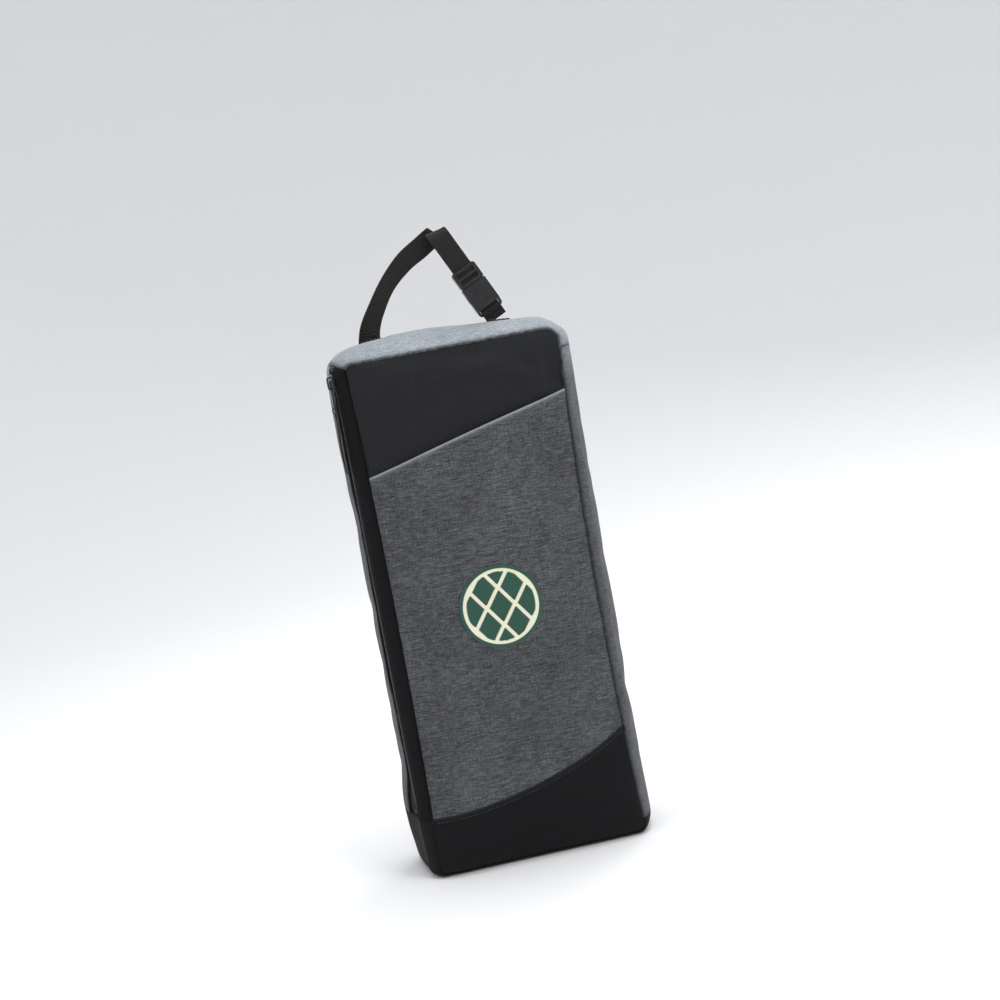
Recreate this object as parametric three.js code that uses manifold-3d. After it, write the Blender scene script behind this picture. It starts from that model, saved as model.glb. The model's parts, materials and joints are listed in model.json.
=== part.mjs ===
// Slim upright golf shoe bag with padded walls, a side zipper, a slanted front pocket and a buckled strap.
// Millimetres, +Z up. The origin is the centre of the base's underside. The pocket faces -Y, the zipper -X.
import * as THREE from 'three';
import { mergeVertices } from 'three/addons/utils/BufferGeometryUtils.js';
import Module from 'manifold-3d';

const wasm = await Module();
wasm.setup();

// ---------------------------------------------------------------- driving dimensions
const SEAM_LEFT = -85; // x of the front panel's left seam
const SEAM_RIGHT = 74.3; // x of the front panel's right seam
const HALF_DEPTH = 40; // the seams lie at y = -40 and y = +40
const PANEL_BOTTOM = 3;
const PANEL_TOP = 385;
const LEFT_BULGE = 6; // how far the zipper side swells past its seam
const LEFT_FLAT = [-31, 5]; // the depths between which that side is flat
const RIGHT_BULGE = 10;
const DOME_BASE = 383; // z of the top gusset's two ends
const DOME_RISE = 14;
const GAP = 0.3; // clearance between sewn neighbours

const SHELL = 2; // outer fabric
const FOAM = 4; // closed-cell foam
const LINING = 1;
const FOAM_IN = SHELL + GAP;
const LINING_IN = FOAM_IN + FOAM + GAP;
const WALL = LINING_IN + LINING;

const PANEL_FRONT = -37.6; // y of the black front panel's face
const PANEL_THICK = 1.6;
const POCKET_FRONT = -44.1; // y of the pocket panel's face
const POCKET_THICK = 1.6;
const FLANGE = { inset: 2, end: 4 };
const HEM = 8;
const MOUTH_LEFT = 300; // z of the slanted pocket mouth at each seam
const MOUTH_RIGHT = 339.3;
const LOWER_LEFT = 45.5; // z of the lower panel's curved top edge at each seam
const LOWER_RIGHT = 87.5;
const LOWER_CURVE = 2;
const EMBLEM = { x: -5.3, z: 193, radius: 30.5, border: 2.6, thick: 0.9 };

const ZIP_Y = -27.1; // centre line of the zipper
const ZIP_X = -91; // outer face of its tapes
const ZIP_BOTTOM = 53;
const ZIP_TOP = 381;
const TOOTH_WIDTH = 2;
const TOOTH_SPACE = 1; // from the centre line to each row
const TOOTH_PROUD = 1.2;
const TOOTH_THICK = 2.2;
const TAPE = 1.5;
const TAPE_REAR_END = -8.3; // y where the rear tape meets the left gusset
const WRAP_TOP = 46; // the black wrap round the left side of the base
const STOP_HEIGHT = 3.2;

const SLIDER_Z = 374.5; // pivot of the pull on the closed slider
const SLIDER_HALF_WIDTH = 5;
const SLIDER_LENGTH = 14;
const SLIDER_PLATE = 1.2;
const PIVOT_X = ZIP_X - 4.25; // x of the pull's pivot
const PULL = { width: 8, length: 23, thick: 1.4, limb: 2.2, eye: 7.6, bar: 0.65 };
const PULL_BAR_Z = SLIDER_Z - PULL.length + 1.5; // the ribbon turns about this bar
const RIBBON = { width: 7.6, length: 46, thick: 1.1, ring: 1.5, ringWidth: 4.4 };

const STRAP_Y = 10; // the strap turns about the line y = 10, z = 398
const STRAP_Z = 398;
const STRAP_END = STRAP_Z - 1.4; // z of the webbing's sewn ends
const WEB_WIDTH = 16;
const WEB_THICK = 1.8;
const FOOT_LEFT = -59;
const FOOT_RIGHT = 37.5;
const LEAN = THREE.MathUtils.degToRad(26); // the buckled leg leans to the left

const COLOR = {
  black: 0x1c1d20,
  deep: 0x121316,
  graphite: 0x4a4b4f,
  slate: 0x9399a0,
  cream: 0xe9e4cf,
  green: 0x1f4a39,
};

// ---------------------------------------------------------------- materials
function cloth(color) {
  return new THREE.MeshStandardMaterial({ color, roughness: 0.9, metalness: 0 });
}

function plastic(color) {
  return new THREE.MeshStandardMaterial({ color, roughness: 0.4, metalness: 0 });
}

function metal(color) {
  return new THREE.MeshStandardMaterial({ color, roughness: 0.35, metalness: 0.8 });
}

// ---------------------------------------------------------------- solids
function toSolid(geometry) {
  const bare = geometry.clone();
  bare.deleteAttribute('normal');
  bare.deleteAttribute('uv');
  const merged = mergeVertices(bare, 1e-4);
  const vertProperties = new Float32Array(merged.attributes.position.array);
  const triVerts = new Uint32Array(merged.index.array);
  return new wasm.Manifold(new wasm.Mesh({ numProp: 3, vertProperties, triVerts }));
}

function toGeometry(solid) {
  const mesh = solid.getMesh();
  const geometry = new THREE.BufferGeometry();
  geometry.setAttribute('position', new THREE.BufferAttribute(new Float32Array(mesh.vertProperties), 3));
  geometry.setIndex(new THREE.BufferAttribute(new Uint32Array(mesh.triVerts), 1));
  geometry.computeVertexNormals();
  return geometry;
}

function join(first, ...others) {
  return toGeometry(others.reduce((sum, next) => sum.add(toSolid(next)), toSolid(first)));
}

function cut(first, ...others) {
  return toGeometry(others.reduce((rest, next) => rest.subtract(toSolid(next)), toSolid(first)));
}

// a box given by its lowest and highest corners
function box(x0, y0, z0, x1, y1, z1) {
  const geometry = new THREE.BoxGeometry(x1 - x0, y1 - y0, z1 - z0);
  geometry.translate((x0 + x1) / 2, (y0 + y1) / 2, (z0 + z1) / 2);
  return geometry;
}

function extrude(shape, depth, curveSegments = 6) {
  return new THREE.ExtrudeGeometry(shape, { depth, bevelEnabled: false, curveSegments });
}

// a plate drawn in x and z, seen from the front, from yFront back to yFront + thick
function frontPlate(shape, yFront, thick, curveSegments) {
  const geometry = extrude(shape, thick, curveSegments);
  geometry.rotateX(Math.PI / 2);
  geometry.translate(0, yFront + thick, 0);
  return geometry;
}

// a plate drawn in y and z, from x0 to x0 + thick
function sidePlate(shape, x0, thick, curveSegments) {
  const geometry = extrude(shape, thick, curveSegments);
  const axes = [new THREE.Vector3(0, 1, 0), new THREE.Vector3(0, 0, 1), new THREE.Vector3(1, 0, 0)];
  geometry.applyMatrix4(new THREE.Matrix4().makeBasis(...axes));
  geometry.translate(x0, 0, 0);
  return geometry;
}

// a wall or floor drawn in x and y, from z0 up to z1
function upright(shape, z0, z1, curveSegments) {
  const geometry = extrude(shape, z1 - z0, curveSegments);
  geometry.translate(0, 0, z0);
  return geometry;
}

// a rounded rectangle; corners are the radii at bottom left, bottom right, top right and top left
function roundedShape(x0, y0, x1, y1, corners) {
  const [bottomLeft, bottomRight, topRight, topLeft] = corners;
  const shape = new THREE.Shape();
  shape.moveTo(x0 + bottomLeft, y0);
  shape.lineTo(x1 - bottomRight, y0);
  shape.absarc(x1 - bottomRight, y0 + bottomRight, bottomRight, -Math.PI / 2, 0, false);
  shape.lineTo(x1, y1 - topRight);
  shape.absarc(x1 - topRight, y1 - topRight, topRight, 0, Math.PI / 2, false);
  shape.lineTo(x0 + topLeft, y1);
  shape.absarc(x0 + topLeft, y1 - topLeft, topLeft, Math.PI / 2, Math.PI, false);
  shape.lineTo(x0, y0 + bottomLeft);
  shape.absarc(x0 + bottomLeft, y0 + bottomLeft, bottomLeft, Math.PI, 1.5 * Math.PI, false);
  return shape;
}

function steps(from, to, count) {
  return Array.from({ length: count + 1 }, (_, i) => from + ((to - from) * i) / count);
}

// a closed outline through one row of points and back along another
function ribbonShape(row, back) {
  return new THREE.Shape([...row, ...back.reverse()].map(([x, y]) => new THREE.Vector2(x, y)));
}

// ---------------------------------------------------------------- the bag's outline
// x of the zipper side's outer face at depth y
function leftFace(y) {
  const [flatStart, flatEnd] = LEFT_FLAT;
  if (y < flatStart) {
    return SEAM_LEFT - LEFT_BULGE * Math.sin(((Math.PI / 2) * (y + HALF_DEPTH)) / (flatStart + HALF_DEPTH));
  }
  if (y <= flatEnd) {
    return SEAM_LEFT - LEFT_BULGE;
  }
  return SEAM_LEFT - LEFT_BULGE * Math.cos(((Math.PI / 2) * (y - flatEnd)) / (HALF_DEPTH - flatEnd));
}

// x of the plain side's outer face at depth y
function rightFace(y) {
  return SEAM_RIGHT + RIGHT_BULGE * Math.sin((Math.PI * (y + HALF_DEPTH)) / (2 * HALF_DEPTH));
}

// z of the top gusset's outer face at x
function domeFace(x) {
  const middle = (SEAM_LEFT + SEAM_RIGHT) / 2;
  const half = (SEAM_RIGHT - SEAM_LEFT) / 2 + 1;
  return DOME_BASE + DOME_RISE * (1 - ((x - middle) / half) ** 2);
}

function mouth(x) {
  return MOUTH_LEFT + ((MOUTH_RIGHT - MOUTH_LEFT) * (x - SEAM_LEFT)) / (SEAM_RIGHT - SEAM_LEFT);
}

function lowerEdge(x) {
  const share = (x - SEAM_LEFT) / (SEAM_RIGHT - SEAM_LEFT);
  return LOWER_LEFT + (LOWER_RIGHT - LOWER_LEFT) * Math.max(share, 0) ** LOWER_CURVE;
}

// the depths at which a wall of the zipper side bends, from y0 to y1
function leftDepths(y0, y1) {
  const [flatStart, flatEnd] = LEFT_FLAT;
  const corner = y0 < flatStart ? steps(y0, Math.min(flatStart, y1), 4) : [y0];
  const rounding = y1 > flatEnd ? steps(flatEnd, y1, 8) : [y1];
  return y1 > flatStart ? [...corner, ...rounding] : corner;
}

// a layer of a side wall between two depths under its face, drawn in x and y
function wallShape(face, inward, depths, near, far) {
  const row = depths.map((y) => [face(y) + inward * near, y]);
  const back = depths.map((y) => [face(y) + inward * far, y]);
  return ribbonShape(row, back);
}

// a layer of the domed top between two depths under its face, drawn in x and z
function domeShape(x0, x1, near, far, count = 16) {
  const row = steps(x0, x1, count).map((x) => [x, domeFace(x) - far]);
  const back = steps(x0, x1, count).map((x) => [x, domeFace(x) - near]);
  return ribbonShape(row, back);
}

// ---------------------------------------------------------------- the bag's body
const INNER_LEFT = SEAM_LEFT - LEFT_BULGE + SHELL + GAP;
const INNER_RIGHT = SEAM_RIGHT - SHELL - 2.5;
const BACK_INNER = HALF_DEPTH - SHELL - GAP;
const SIDE_FOAM_END = BACK_INNER - FOAM - GAP;
const SIDE_LINING_END = SIDE_FOAM_END - LINING - GAP;
const FRONT_RIM = -35.7; // the gussets' front edge, just behind the front panel
const SIDE_BOTTOM = SHELL + GAP + 0.2;
const SIDE_TOP = DOME_BASE - SHELL - GAP;
const LINED_TOP = SIDE_TOP - FOAM - LINING - 2 * GAP;
const LINED_BOTTOM = WALL + 1;

function backPieces() {
  const outline = roundedShape(SEAM_LEFT, PANEL_BOTTOM, SEAM_RIGHT, PANEL_TOP, [9, 9, 14, 14]);
  const foam = roundedShape(INNER_LEFT + 5.8, LINED_BOTTOM, INNER_RIGHT, LINED_TOP, [8, 8, 8, 8]);
  const liningLeft = INNER_LEFT + 9.2; // clear of the left wall's foam and lining
  const lining = roundedShape(liningLeft, LINED_BOTTOM, INNER_RIGHT - 5, LINED_TOP, [8, 8, 8, 8]);
  return {
    back_panel: [frontPlate(outline, HALF_DEPTH - SHELL, SHELL), cloth(COLOR.black)],
    back_foam: [frontPlate(foam, BACK_INNER - FOAM, FOAM), cloth(COLOR.deep)],
    back_lining: [frontPlate(lining, BACK_INNER - FOAM - GAP - LINING, LINING), cloth(COLOR.slate)],
  };
}

function rightPieces() {
  const end = HALF_DEPTH - SHELL - GAP;
  const shell = wallShape(rightFace, -1, steps(FRONT_RIM, end, 12), 0, SHELL);
  const foamDepths = steps(FRONT_RIM + 1, SIDE_FOAM_END, 12);
  const liningDepths = steps(FRONT_RIM + 1, SIDE_LINING_END, 12);
  const foam = wallShape(rightFace, -1, foamDepths, FOAM_IN, FOAM_IN + FOAM);
  const lining = wallShape(rightFace, -1, liningDepths, LINING_IN, WALL);
  return {
    right_gusset: [upright(shell, SIDE_BOTTOM, SIDE_TOP), cloth(COLOR.graphite)],
    right_foam: [upright(foam, LINED_BOTTOM, LINED_TOP), cloth(COLOR.deep)],
    right_lining: [upright(lining, LINED_BOTTOM, LINED_TOP), cloth(COLOR.slate)],
  };
}

function leftPieces() {
  const end = HALF_DEPTH - SHELL - GAP;
  const lined = ZIP_Y + SLIDER_HALF_WIDTH + 1.4; // the slider's inner plate runs clear of the foam
  const shell = wallShape(leftFace, 1, leftDepths(TAPE_REAR_END + GAP, end), 0, SHELL);
  const wrap = wallShape(leftFace, 1, leftDepths(FRONT_RIM, end), 0, SHELL);
  const foam = wallShape(leftFace, 1, leftDepths(lined, SIDE_FOAM_END), FOAM_IN, FOAM_IN + FOAM);
  const lining = wallShape(leftFace, 1, leftDepths(lined, SIDE_LINING_END), LINING_IN, WALL);
  return {
    left_gusset: [upright(shell, WRAP_TOP + GAP, SIDE_TOP), cloth(COLOR.graphite)],
    base_wrap: [upright(wrap, SIDE_BOTTOM, WRAP_TOP), cloth(COLOR.black)],
    left_foam: [upright(foam, LINED_BOTTOM, LINED_TOP), cloth(COLOR.deep)],
    left_lining: [upright(lining, LINED_BOTTOM, LINED_TOP), cloth(COLOR.slate)],
  };
}

function topPieces() {
  const end = HALF_DEPTH - SHELL - GAP;
  const depth = end - FRONT_RIM;
  const shell = domeShape(SEAM_LEFT - 1, SEAM_RIGHT + 1, 0, SHELL);
  const foam = domeShape(INNER_LEFT + 5, INNER_RIGHT, FOAM_IN, FOAM_IN + FOAM);
  const lining = domeShape(INNER_LEFT + 6, INNER_RIGHT - 1, LINING_IN, WALL);
  return {
    top_gusset: [frontPlate(shell, FRONT_RIM, depth), cloth(COLOR.slate)],
    top_foam: [frontPlate(foam, FRONT_RIM + 1, depth - 2), cloth(COLOR.deep)],
    top_lining: [frontPlate(lining, FRONT_RIM + 2, depth - 4), cloth(COLOR.slate)],
  };
}

function basePieces() {
  const round = [8, 8, 8, 8];
  const panel = roundedShape(SEAM_LEFT + 1, -HALF_DEPTH + 3, SEAM_RIGHT - 1, HALF_DEPTH - 3, round);
  const foam = roundedShape(INNER_LEFT + 5, FRONT_RIM + 1, INNER_RIGHT, BACK_INNER - GAP, round);
  return {
    base_panel: [upright(panel, 0, SHELL), cloth(COLOR.black)],
    base_foam: [upright(foam, SHELL + GAP, SHELL + GAP + FOAM), cloth(COLOR.deep)],
    base_lining: [upright(foam, LINING_IN, WALL), cloth(COLOR.slate)],
  };
}

// ---------------------------------------------------------------- the front flap
function panelSpan() {
  return steps(SEAM_LEFT + GAP, SEAM_RIGHT - GAP, 14);
}

// the pocket's sides are folded back to the front panel in two narrow flanges
function leftFlange(y0, z0, y1, z1) {
  return box(SEAM_LEFT + FLANGE.inset, y0, z0, SEAM_LEFT + FLANGE.inset + POCKET_THICK, y1, z1);
}

function rightFlange(y0, z0, y1, z1) {
  return box(SEAM_RIGHT - FLANGE.inset - POCKET_THICK, y0, z0, SEAM_RIGHT - FLANGE.inset, y1, z1);
}

function pocketGeometry() {
  const span = panelSpan();
  const top = span.map((x) => [x, mouth(x) - HEM - GAP]);
  const bottom = span.map((x) => [x, lowerEdge(x) + GAP]);
  const face = frontPlate(ribbonShape(bottom, top), POCKET_FRONT, POCKET_THICK);
  const flangeBack = PANEL_FRONT - GAP;
  const inner = POCKET_FRONT + 1;
  const left = leftFlange(inner, LOWER_LEFT + FLANGE.end, flangeBack, MOUTH_LEFT - HEM - 2);
  const right = rightFlange(inner, LOWER_RIGHT + FLANGE.end, flangeBack, MOUTH_RIGHT - HEM - 2);
  return join(face, left, right);
}

function hemGeometry() {
  const ends = [SEAM_LEFT + GAP, SEAM_RIGHT - GAP];
  const shape = ribbonShape(
    ends.map((x) => [x, mouth(x) - HEM]),
    ends.map((x) => [x, mouth(x)]),
  );
  return frontPlate(shape, POCKET_FRONT - GAP, POCKET_THICK + GAP);
}

function lowerPanelGeometry() {
  const [x0, x1] = [SEAM_LEFT + GAP, SEAM_RIGHT - GAP];
  const [leftRound, rightRound] = [8, 10];
  const shape = new THREE.Shape();
  shape.moveTo(x0 + leftRound, PANEL_BOTTOM);
  shape.lineTo(x1 - rightRound, PANEL_BOTTOM);
  shape.absarc(x1 - rightRound, PANEL_BOTTOM + rightRound, rightRound, -Math.PI / 2, 0, false);
  for (const x of panelSpan().reverse()) {
    shape.lineTo(x, lowerEdge(x));
  }
  shape.absarc(x0 + leftRound, PANEL_BOTTOM + leftRound, leftRound, Math.PI, 1.5 * Math.PI, false);
  const face = frontPlate(shape, POCKET_FRONT, POCKET_THICK);
  const flangeBack = PANEL_FRONT - GAP;
  const inner = POCKET_FRONT + 1;
  const left = leftFlange(inner, PANEL_BOTTOM + leftRound + 1, flangeBack, LOWER_LEFT - 3);
  const right = rightFlange(inner, PANEL_BOTTOM + rightRound + 1, flangeBack, LOWER_RIGHT - 3);
  const floorEnds = [SEAM_LEFT + leftRound + 1, SEAM_RIGHT - rightRound - 1];
  const floorTop = PANEL_BOTTOM + POCKET_THICK;
  const floor = box(floorEnds[0], inner, PANEL_BOTTOM, floorEnds[1], flangeBack, floorTop);
  return join(face, left, right, floor);
}

function emblemPieces() {
  const front = POCKET_FRONT - GAP - EMBLEM.thick;
  const centre = new THREE.Shape();
  centre.absarc(EMBLEM.x, EMBLEM.z, EMBLEM.radius - EMBLEM.border - GAP, 0, 2 * Math.PI, false);
  const ring = new THREE.Shape();
  ring.absarc(EMBLEM.x, EMBLEM.z, EMBLEM.radius, 0, 2 * Math.PI, false);
  const hole = new THREE.Path();
  hole.absarc(EMBLEM.x, EMBLEM.z, EMBLEM.radius - EMBLEM.border, 0, 2 * Math.PI, true);
  ring.holes.push(hole);
  return {
    emblem_patch: [frontPlate(centre, front, EMBLEM.thick, 20), cloth(COLOR.cream)],
    emblem_border: [frontPlate(ring, front - 0.3, EMBLEM.thick + 0.3, 20), cloth(COLOR.green)],
  };
}

function frontPieces() {
  const panel = roundedShape(SEAM_LEFT + GAP, PANEL_BOTTOM, SEAM_RIGHT - GAP, PANEL_TOP, [8, 10, 14, 8]);
  const foam = roundedShape(SEAM_LEFT + 6, LINED_BOTTOM + 3, SEAM_RIGHT - 9, LINED_TOP, [8, 8, 8, 8]);
  const foamFront = PANEL_FRONT + PANEL_THICK + GAP;
  return {
    front_panel: [frontPlate(panel, PANEL_FRONT, PANEL_THICK), cloth(COLOR.black)],
    front_foam: [frontPlate(foam, foamFront, FOAM), cloth(COLOR.deep)],
    front_lining: [frontPlate(foam, foamFront + FOAM + GAP, LINING), cloth(COLOR.slate)],
    pocket_panel: [pocketGeometry(), cloth(COLOR.graphite)],
    pocket_hem: [hemGeometry(), cloth(COLOR.graphite)],
    front_lower_panel: [lowerPanelGeometry(), cloth(COLOR.black)],
    ...emblemPieces(),
  };
}

// ---------------------------------------------------------------- the zipper
const ROW_FRONT = ZIP_Y - TOOTH_SPACE - TOOTH_WIDTH;
const ROW_REAR = ZIP_Y + TOOTH_SPACE;
const TOOTH_X = ZIP_X - TOOTH_PROUD;

function toothRow(y) {
  return box(TOOTH_X, y, ZIP_BOTTOM, TOOTH_X + TOOTH_THICK, y + TOOTH_WIDTH, ZIP_TOP);
}

function zipperStop(z) {
  const half = TOOTH_SPACE + TOOTH_WIDTH;
  const shape = roundedShape(ZIP_Y - half, z, ZIP_Y + half, z + STOP_HEIGHT, [1, 1, 1, 1]);
  return sidePlate(shape, TOOTH_X - 0.4, TOOTH_THICK, 3);
}

function zipperPieces() {
  const frontTape = wallShape(leftFace, 1, leftDepths(-HALF_DEPTH, ROW_FRONT - GAP), 0, TAPE);
  const rearTape = wallShape(leftFace, 1, leftDepths(ROW_REAR + TOOTH_WIDTH + GAP, TAPE_REAR_END), 0, TAPE);
  return {
    zip_tape_front: [upright(frontTape, WRAP_TOP + 0.6, ZIP_TOP + 2), cloth(COLOR.black)],
    zip_tape_rear: [upright(rearTape, WRAP_TOP + GAP, SIDE_TOP), cloth(COLOR.black)],
    zip_teeth_front: [toothRow(ROW_FRONT), plastic(COLOR.deep)],
    zip_teeth_rear: [toothRow(ROW_REAR), plastic(COLOR.deep)],
    zip_top_stop: [zipperStop(ZIP_TOP + GAP), metal(COLOR.deep)],
    zip_bottom_stop: [zipperStop(ZIP_BOTTOM - GAP - STOP_HEIGHT), metal(COLOR.deep)],
  };
}

// the slider's plates are wide at the top and narrow to a round tail
function sliderPlate(x0) {
  const top = SLIDER_Z + 5;
  const bottom = top - SLIDER_LENGTH;
  const tail = 3.4;
  const shape = new THREE.Shape();
  shape.moveTo(ZIP_Y - tail, bottom + 2);
  shape.quadraticCurveTo(ZIP_Y - tail, bottom, ZIP_Y, bottom);
  shape.quadraticCurveTo(ZIP_Y + tail, bottom, ZIP_Y + tail, bottom + 2);
  shape.lineTo(ZIP_Y + SLIDER_HALF_WIDTH, top - 5);
  shape.quadraticCurveTo(ZIP_Y + SLIDER_HALF_WIDTH, top, ZIP_Y + 1, top);
  shape.lineTo(ZIP_Y - 1, top);
  shape.quadraticCurveTo(ZIP_Y - SLIDER_HALF_WIDTH, top, ZIP_Y - SLIDER_HALF_WIDTH, top - 5);
  return sidePlate(shape, x0, SLIDER_PLATE, 4);
}

// the bridge that holds the pull, drawn in x and z
function sliderBridge() {
  const base = TOOTH_X - 0.6 - SLIDER_PLATE / 2;
  const crown = PIVOT_X - 2.2;
  const low = SLIDER_Z - 6.4;
  const high = SLIDER_Z + 3.4;
  const shape = roundedShape(crown, low, base, high, [2, 0.1, 0.1, 2]);
  const hole = new THREE.Path();
  const inset = 1.1;
  hole.moveTo(crown + inset, low + inset + 0.6);
  hole.lineTo(crown + inset, high - inset - 0.6);
  hole.lineTo(crown + inset + 0.6, high - inset);
  hole.lineTo(base - SLIDER_PLATE / 2 - 0.1, high - inset);
  hole.lineTo(base - SLIDER_PLATE / 2 - 0.1, low + inset);
  hole.lineTo(crown + inset + 0.6, low + inset);
  shape.holes.push(hole);
  return frontPlate(shape, ZIP_Y - 1.2, 2.4, 3);
}

function sliderGeometry() {
  const outer = TOOTH_X - 0.6 - SLIDER_PLATE;
  const inner = ZIP_X + TAPE + GAP;
  const postTop = SLIDER_Z + 4;
  const post = box(outer + 0.4, ZIP_Y - 0.5, postTop - 4, inner + 0.4, ZIP_Y + 0.5, postTop);
  return join(sliderPlate(outer), sliderPlate(inner), post, sliderBridge());
}

function pullGeometry() {
  const half = PULL.width / 2;
  const x0 = PIVOT_X - PULL.thick / 2;
  const top = SLIDER_Z + PULL.bar;
  const bottom = SLIDER_Z - PULL.length + 0.7;
  const shape = roundedShape(ZIP_Y - half, bottom, ZIP_Y + half, top, [2, 2, 0.6, 0.6]);
  const eye = half - PULL.limb;
  const [slotLow, slotHigh] = [SLIDER_Z - PULL.eye, SLIDER_Z - PULL.bar];
  const slot = roundedShape(ZIP_Y - eye, slotLow, ZIP_Y + eye, slotHigh, [1, 1, 0.2, 0.2]);
  const [slitLow, slitHigh] = [PULL_BAR_Z + 0.8, PULL_BAR_Z + 3.4];
  const slit = roundedShape(ZIP_Y - 2.7, slitLow, ZIP_Y + 2.7, slitHigh, [0.8, 0.8, 0.8, 0.8]);
  shape.holes.push(slot, slit);
  return sidePlate(shape, x0, PULL.thick, 3);
}

// the ribbon is a loop round the pull's lower bar with a long flat tail
function ribbonGeometry() {
  const outer = RIBBON.ring + 1;
  const ring = new THREE.Shape();
  ring.absarc(PIVOT_X, PULL_BAR_Z, outer, 0, 2 * Math.PI, false);
  const hole = new THREE.Path();
  hole.absarc(PIVOT_X, PULL_BAR_Z, RIBBON.ring, 0, 2 * Math.PI, true);
  ring.holes.push(hole);
  const loop = frontPlate(ring, ZIP_Y - RIBBON.ringWidth / 2, RIBBON.ringWidth, 8);
  const half = RIBBON.width / 2;
  const low = PULL_BAR_Z - RIBBON.length;
  const flat = roundedShape(ZIP_Y - half, low, ZIP_Y + half, PULL_BAR_Z - outer + 0.4, [1, 1, 1.5, 1.5]);
  return join(loop, sidePlate(flat, PIVOT_X - RIBBON.thick / 2, RIBBON.thick, 3));
}

// ---------------------------------------------------------------- the strap and its buckle
// buckle pieces are drawn with x across the webbing, y up the leg from its pivot and z towards the front
const BAR = 6; // the socket's webbing bar
const MOUTH = BAR + 24; // the socket's open end
const SOCKET = { half: 10.2, thick: 7.4, cavity: BAR + 6.5 };
const SOCKET_SLOT = [BAR + 1.1, BAR + 4.1]; // the short webbing passes through here
const WINDOW = [BAR + 12, BAR + 18.2];
const PLUG = { half: 10, back: -2.6, front: 5, top: MOUTH + 14, channel: [1.7, 4.1] };
const WEB_PLANE = 2.9; // the webbing runs this far in front of the buckle's middle
const ARM = { pivotX: 6.2, pivotY: MOUTH + 0.6, tip: MOUTH - 15.6, barb: 9.5, thick: 3 };
const TONGUE = { half: 2, tip: MOUTH - 16 };

function flat(shape, thick, curveSegments = 4) {
  const geometry = extrude(shape, thick, curveSegments);
  geometry.translate(0, 0, -thick / 2);
  return geometry;
}

// the cavity is widest beside the windows and tapers to the mouth, so the arms' barbs are squeezed in
function cavityShape() {
  const side = [
    [8.8, SOCKET.cavity],
    [9.0, WINDOW[0]],
    [9.75, WINDOW[1]],
    [9.1, MOUTH + 1],
  ];
  return ribbonShape(
    side,
    side.map(([x, y]) => [-x, y]),
  );
}

function socketGeometry() {
  const { half, thick } = SOCKET;
  const shape = roundedShape(-half, BAR - 1.1, half, MOUTH, [3, 3, 1.2, 1.2]);
  const slot = box(-8.3, SOCKET_SLOT[0], -thick, 8.3, SOCKET_SLOT[1], thick);
  const windows = box(-half - 1, WINDOW[0], -1.9, half + 1, WINDOW[1], 1.9);
  const trim = box(-half - 1, BAR - 3, 1.6, half + 1, SOCKET_SLOT[1], thick);
  const under = box(-half - 1, BAR - 3, -thick, half + 1, SOCKET_SLOT[1], -1.6);
  return cut(flat(shape, thick), flat(cavityShape(), 4.6), slot, windows, trim, under);
}

function plugGeometry() {
  const { half, back, front, top, channel } = PLUG;
  const base = MOUTH + 0.4;
  const body = extrude(roundedShape(-half, base, half, top, [1, 1, 2.5, 2.5]), front - back, 4);
  body.translate(0, 0, back);
  const tongueShape = roundedShape(-TONGUE.half, TONGUE.tip, TONGUE.half, base + 1, [1.4, 1.4, 0.1, 0.1]);
  const solid = join(body, flat(tongueShape, ARM.thick));
  const side = WEB_WIDTH / 2 + 0.5;
  const sleeve = box(-side, base - 1, channel[0], side, top + 1, channel[1]);
  const windows = [base + 2.6, base + 8].map((y) => box(-7.2, y, channel[1] - 1, 7.2, y + 3.2, front + 1));
  const notch = { half: 3, depth: 2.8, reach: 1.9 };
  const notches = [-ARM.pivotX, ARM.pivotX].map((x) =>
    box(x - notch.half, base - 1, -notch.reach, x + notch.half, base + notch.depth, notch.reach),
  );
  return cut(solid, sleeve, ...windows, ...notches);
}

// one latch arm: a slim spring leg with a barb that stands in the socket's side window
function armGeometry(side) {
  const { pivotX, pivotY, tip, barb } = ARM;
  const outline = [
    [pivotX - 1.5, pivotY + 1],
    [pivotX + 1.5, pivotY + 1],
    [pivotX + 1.6, WINDOW[1] + 1.5],
    [barb, WINDOW[1] - 0.6],
    [barb + 0.1, WINDOW[0] + 1.4],
    [pivotX + 1.4, tip + 0.8],
    [pivotX - 0.4, tip],
    [pivotX - 0.6, WINDOW[0] + 1],
    [pivotX - 0.9, WINDOW[1]],
  ];
  const points = outline.map(([x, y]) => new THREE.Vector2(side * x, y));
  return flat(new THREE.Shape(side > 0 ? points.reverse() : points), ARM.thick);
}

// two plies of webbing sewn together below a loop round the socket's bar
function shortWebGeometry() {
  const half = WEB_WIDTH / 2 - 0.2;
  const ring = new THREE.Shape();
  ring.absarc(BAR, 0, 2.8, 0, 2 * Math.PI, false);
  const hole = new THREE.Path();
  hole.absarc(BAR, 0, 2.1, 0, 2 * Math.PI, true);
  ring.holes.push(hole);
  const loop = extrude(ring, 2 * half, 8);
  const axes = [new THREE.Vector3(0, 1, 0), new THREE.Vector3(0, 0, 1), new THREE.Vector3(1, 0, 0)];
  loop.applyMatrix4(new THREE.Matrix4().makeBasis(...axes));
  loop.translate(-half, 0, 0);
  const endAt = (x) => (STRAP_END - STRAP_Z - x * Math.sin(LEAN)) / Math.cos(LEAN);
  const stub = ribbonShape(
    [
      [-half, endAt(-half)],
      [half, endAt(half)],
    ],
    [
      [-half, BAR - 2.4],
      [half, BAR - 2.4],
    ],
  );
  return join(loop, flat(stub, 2.4));
}

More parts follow.
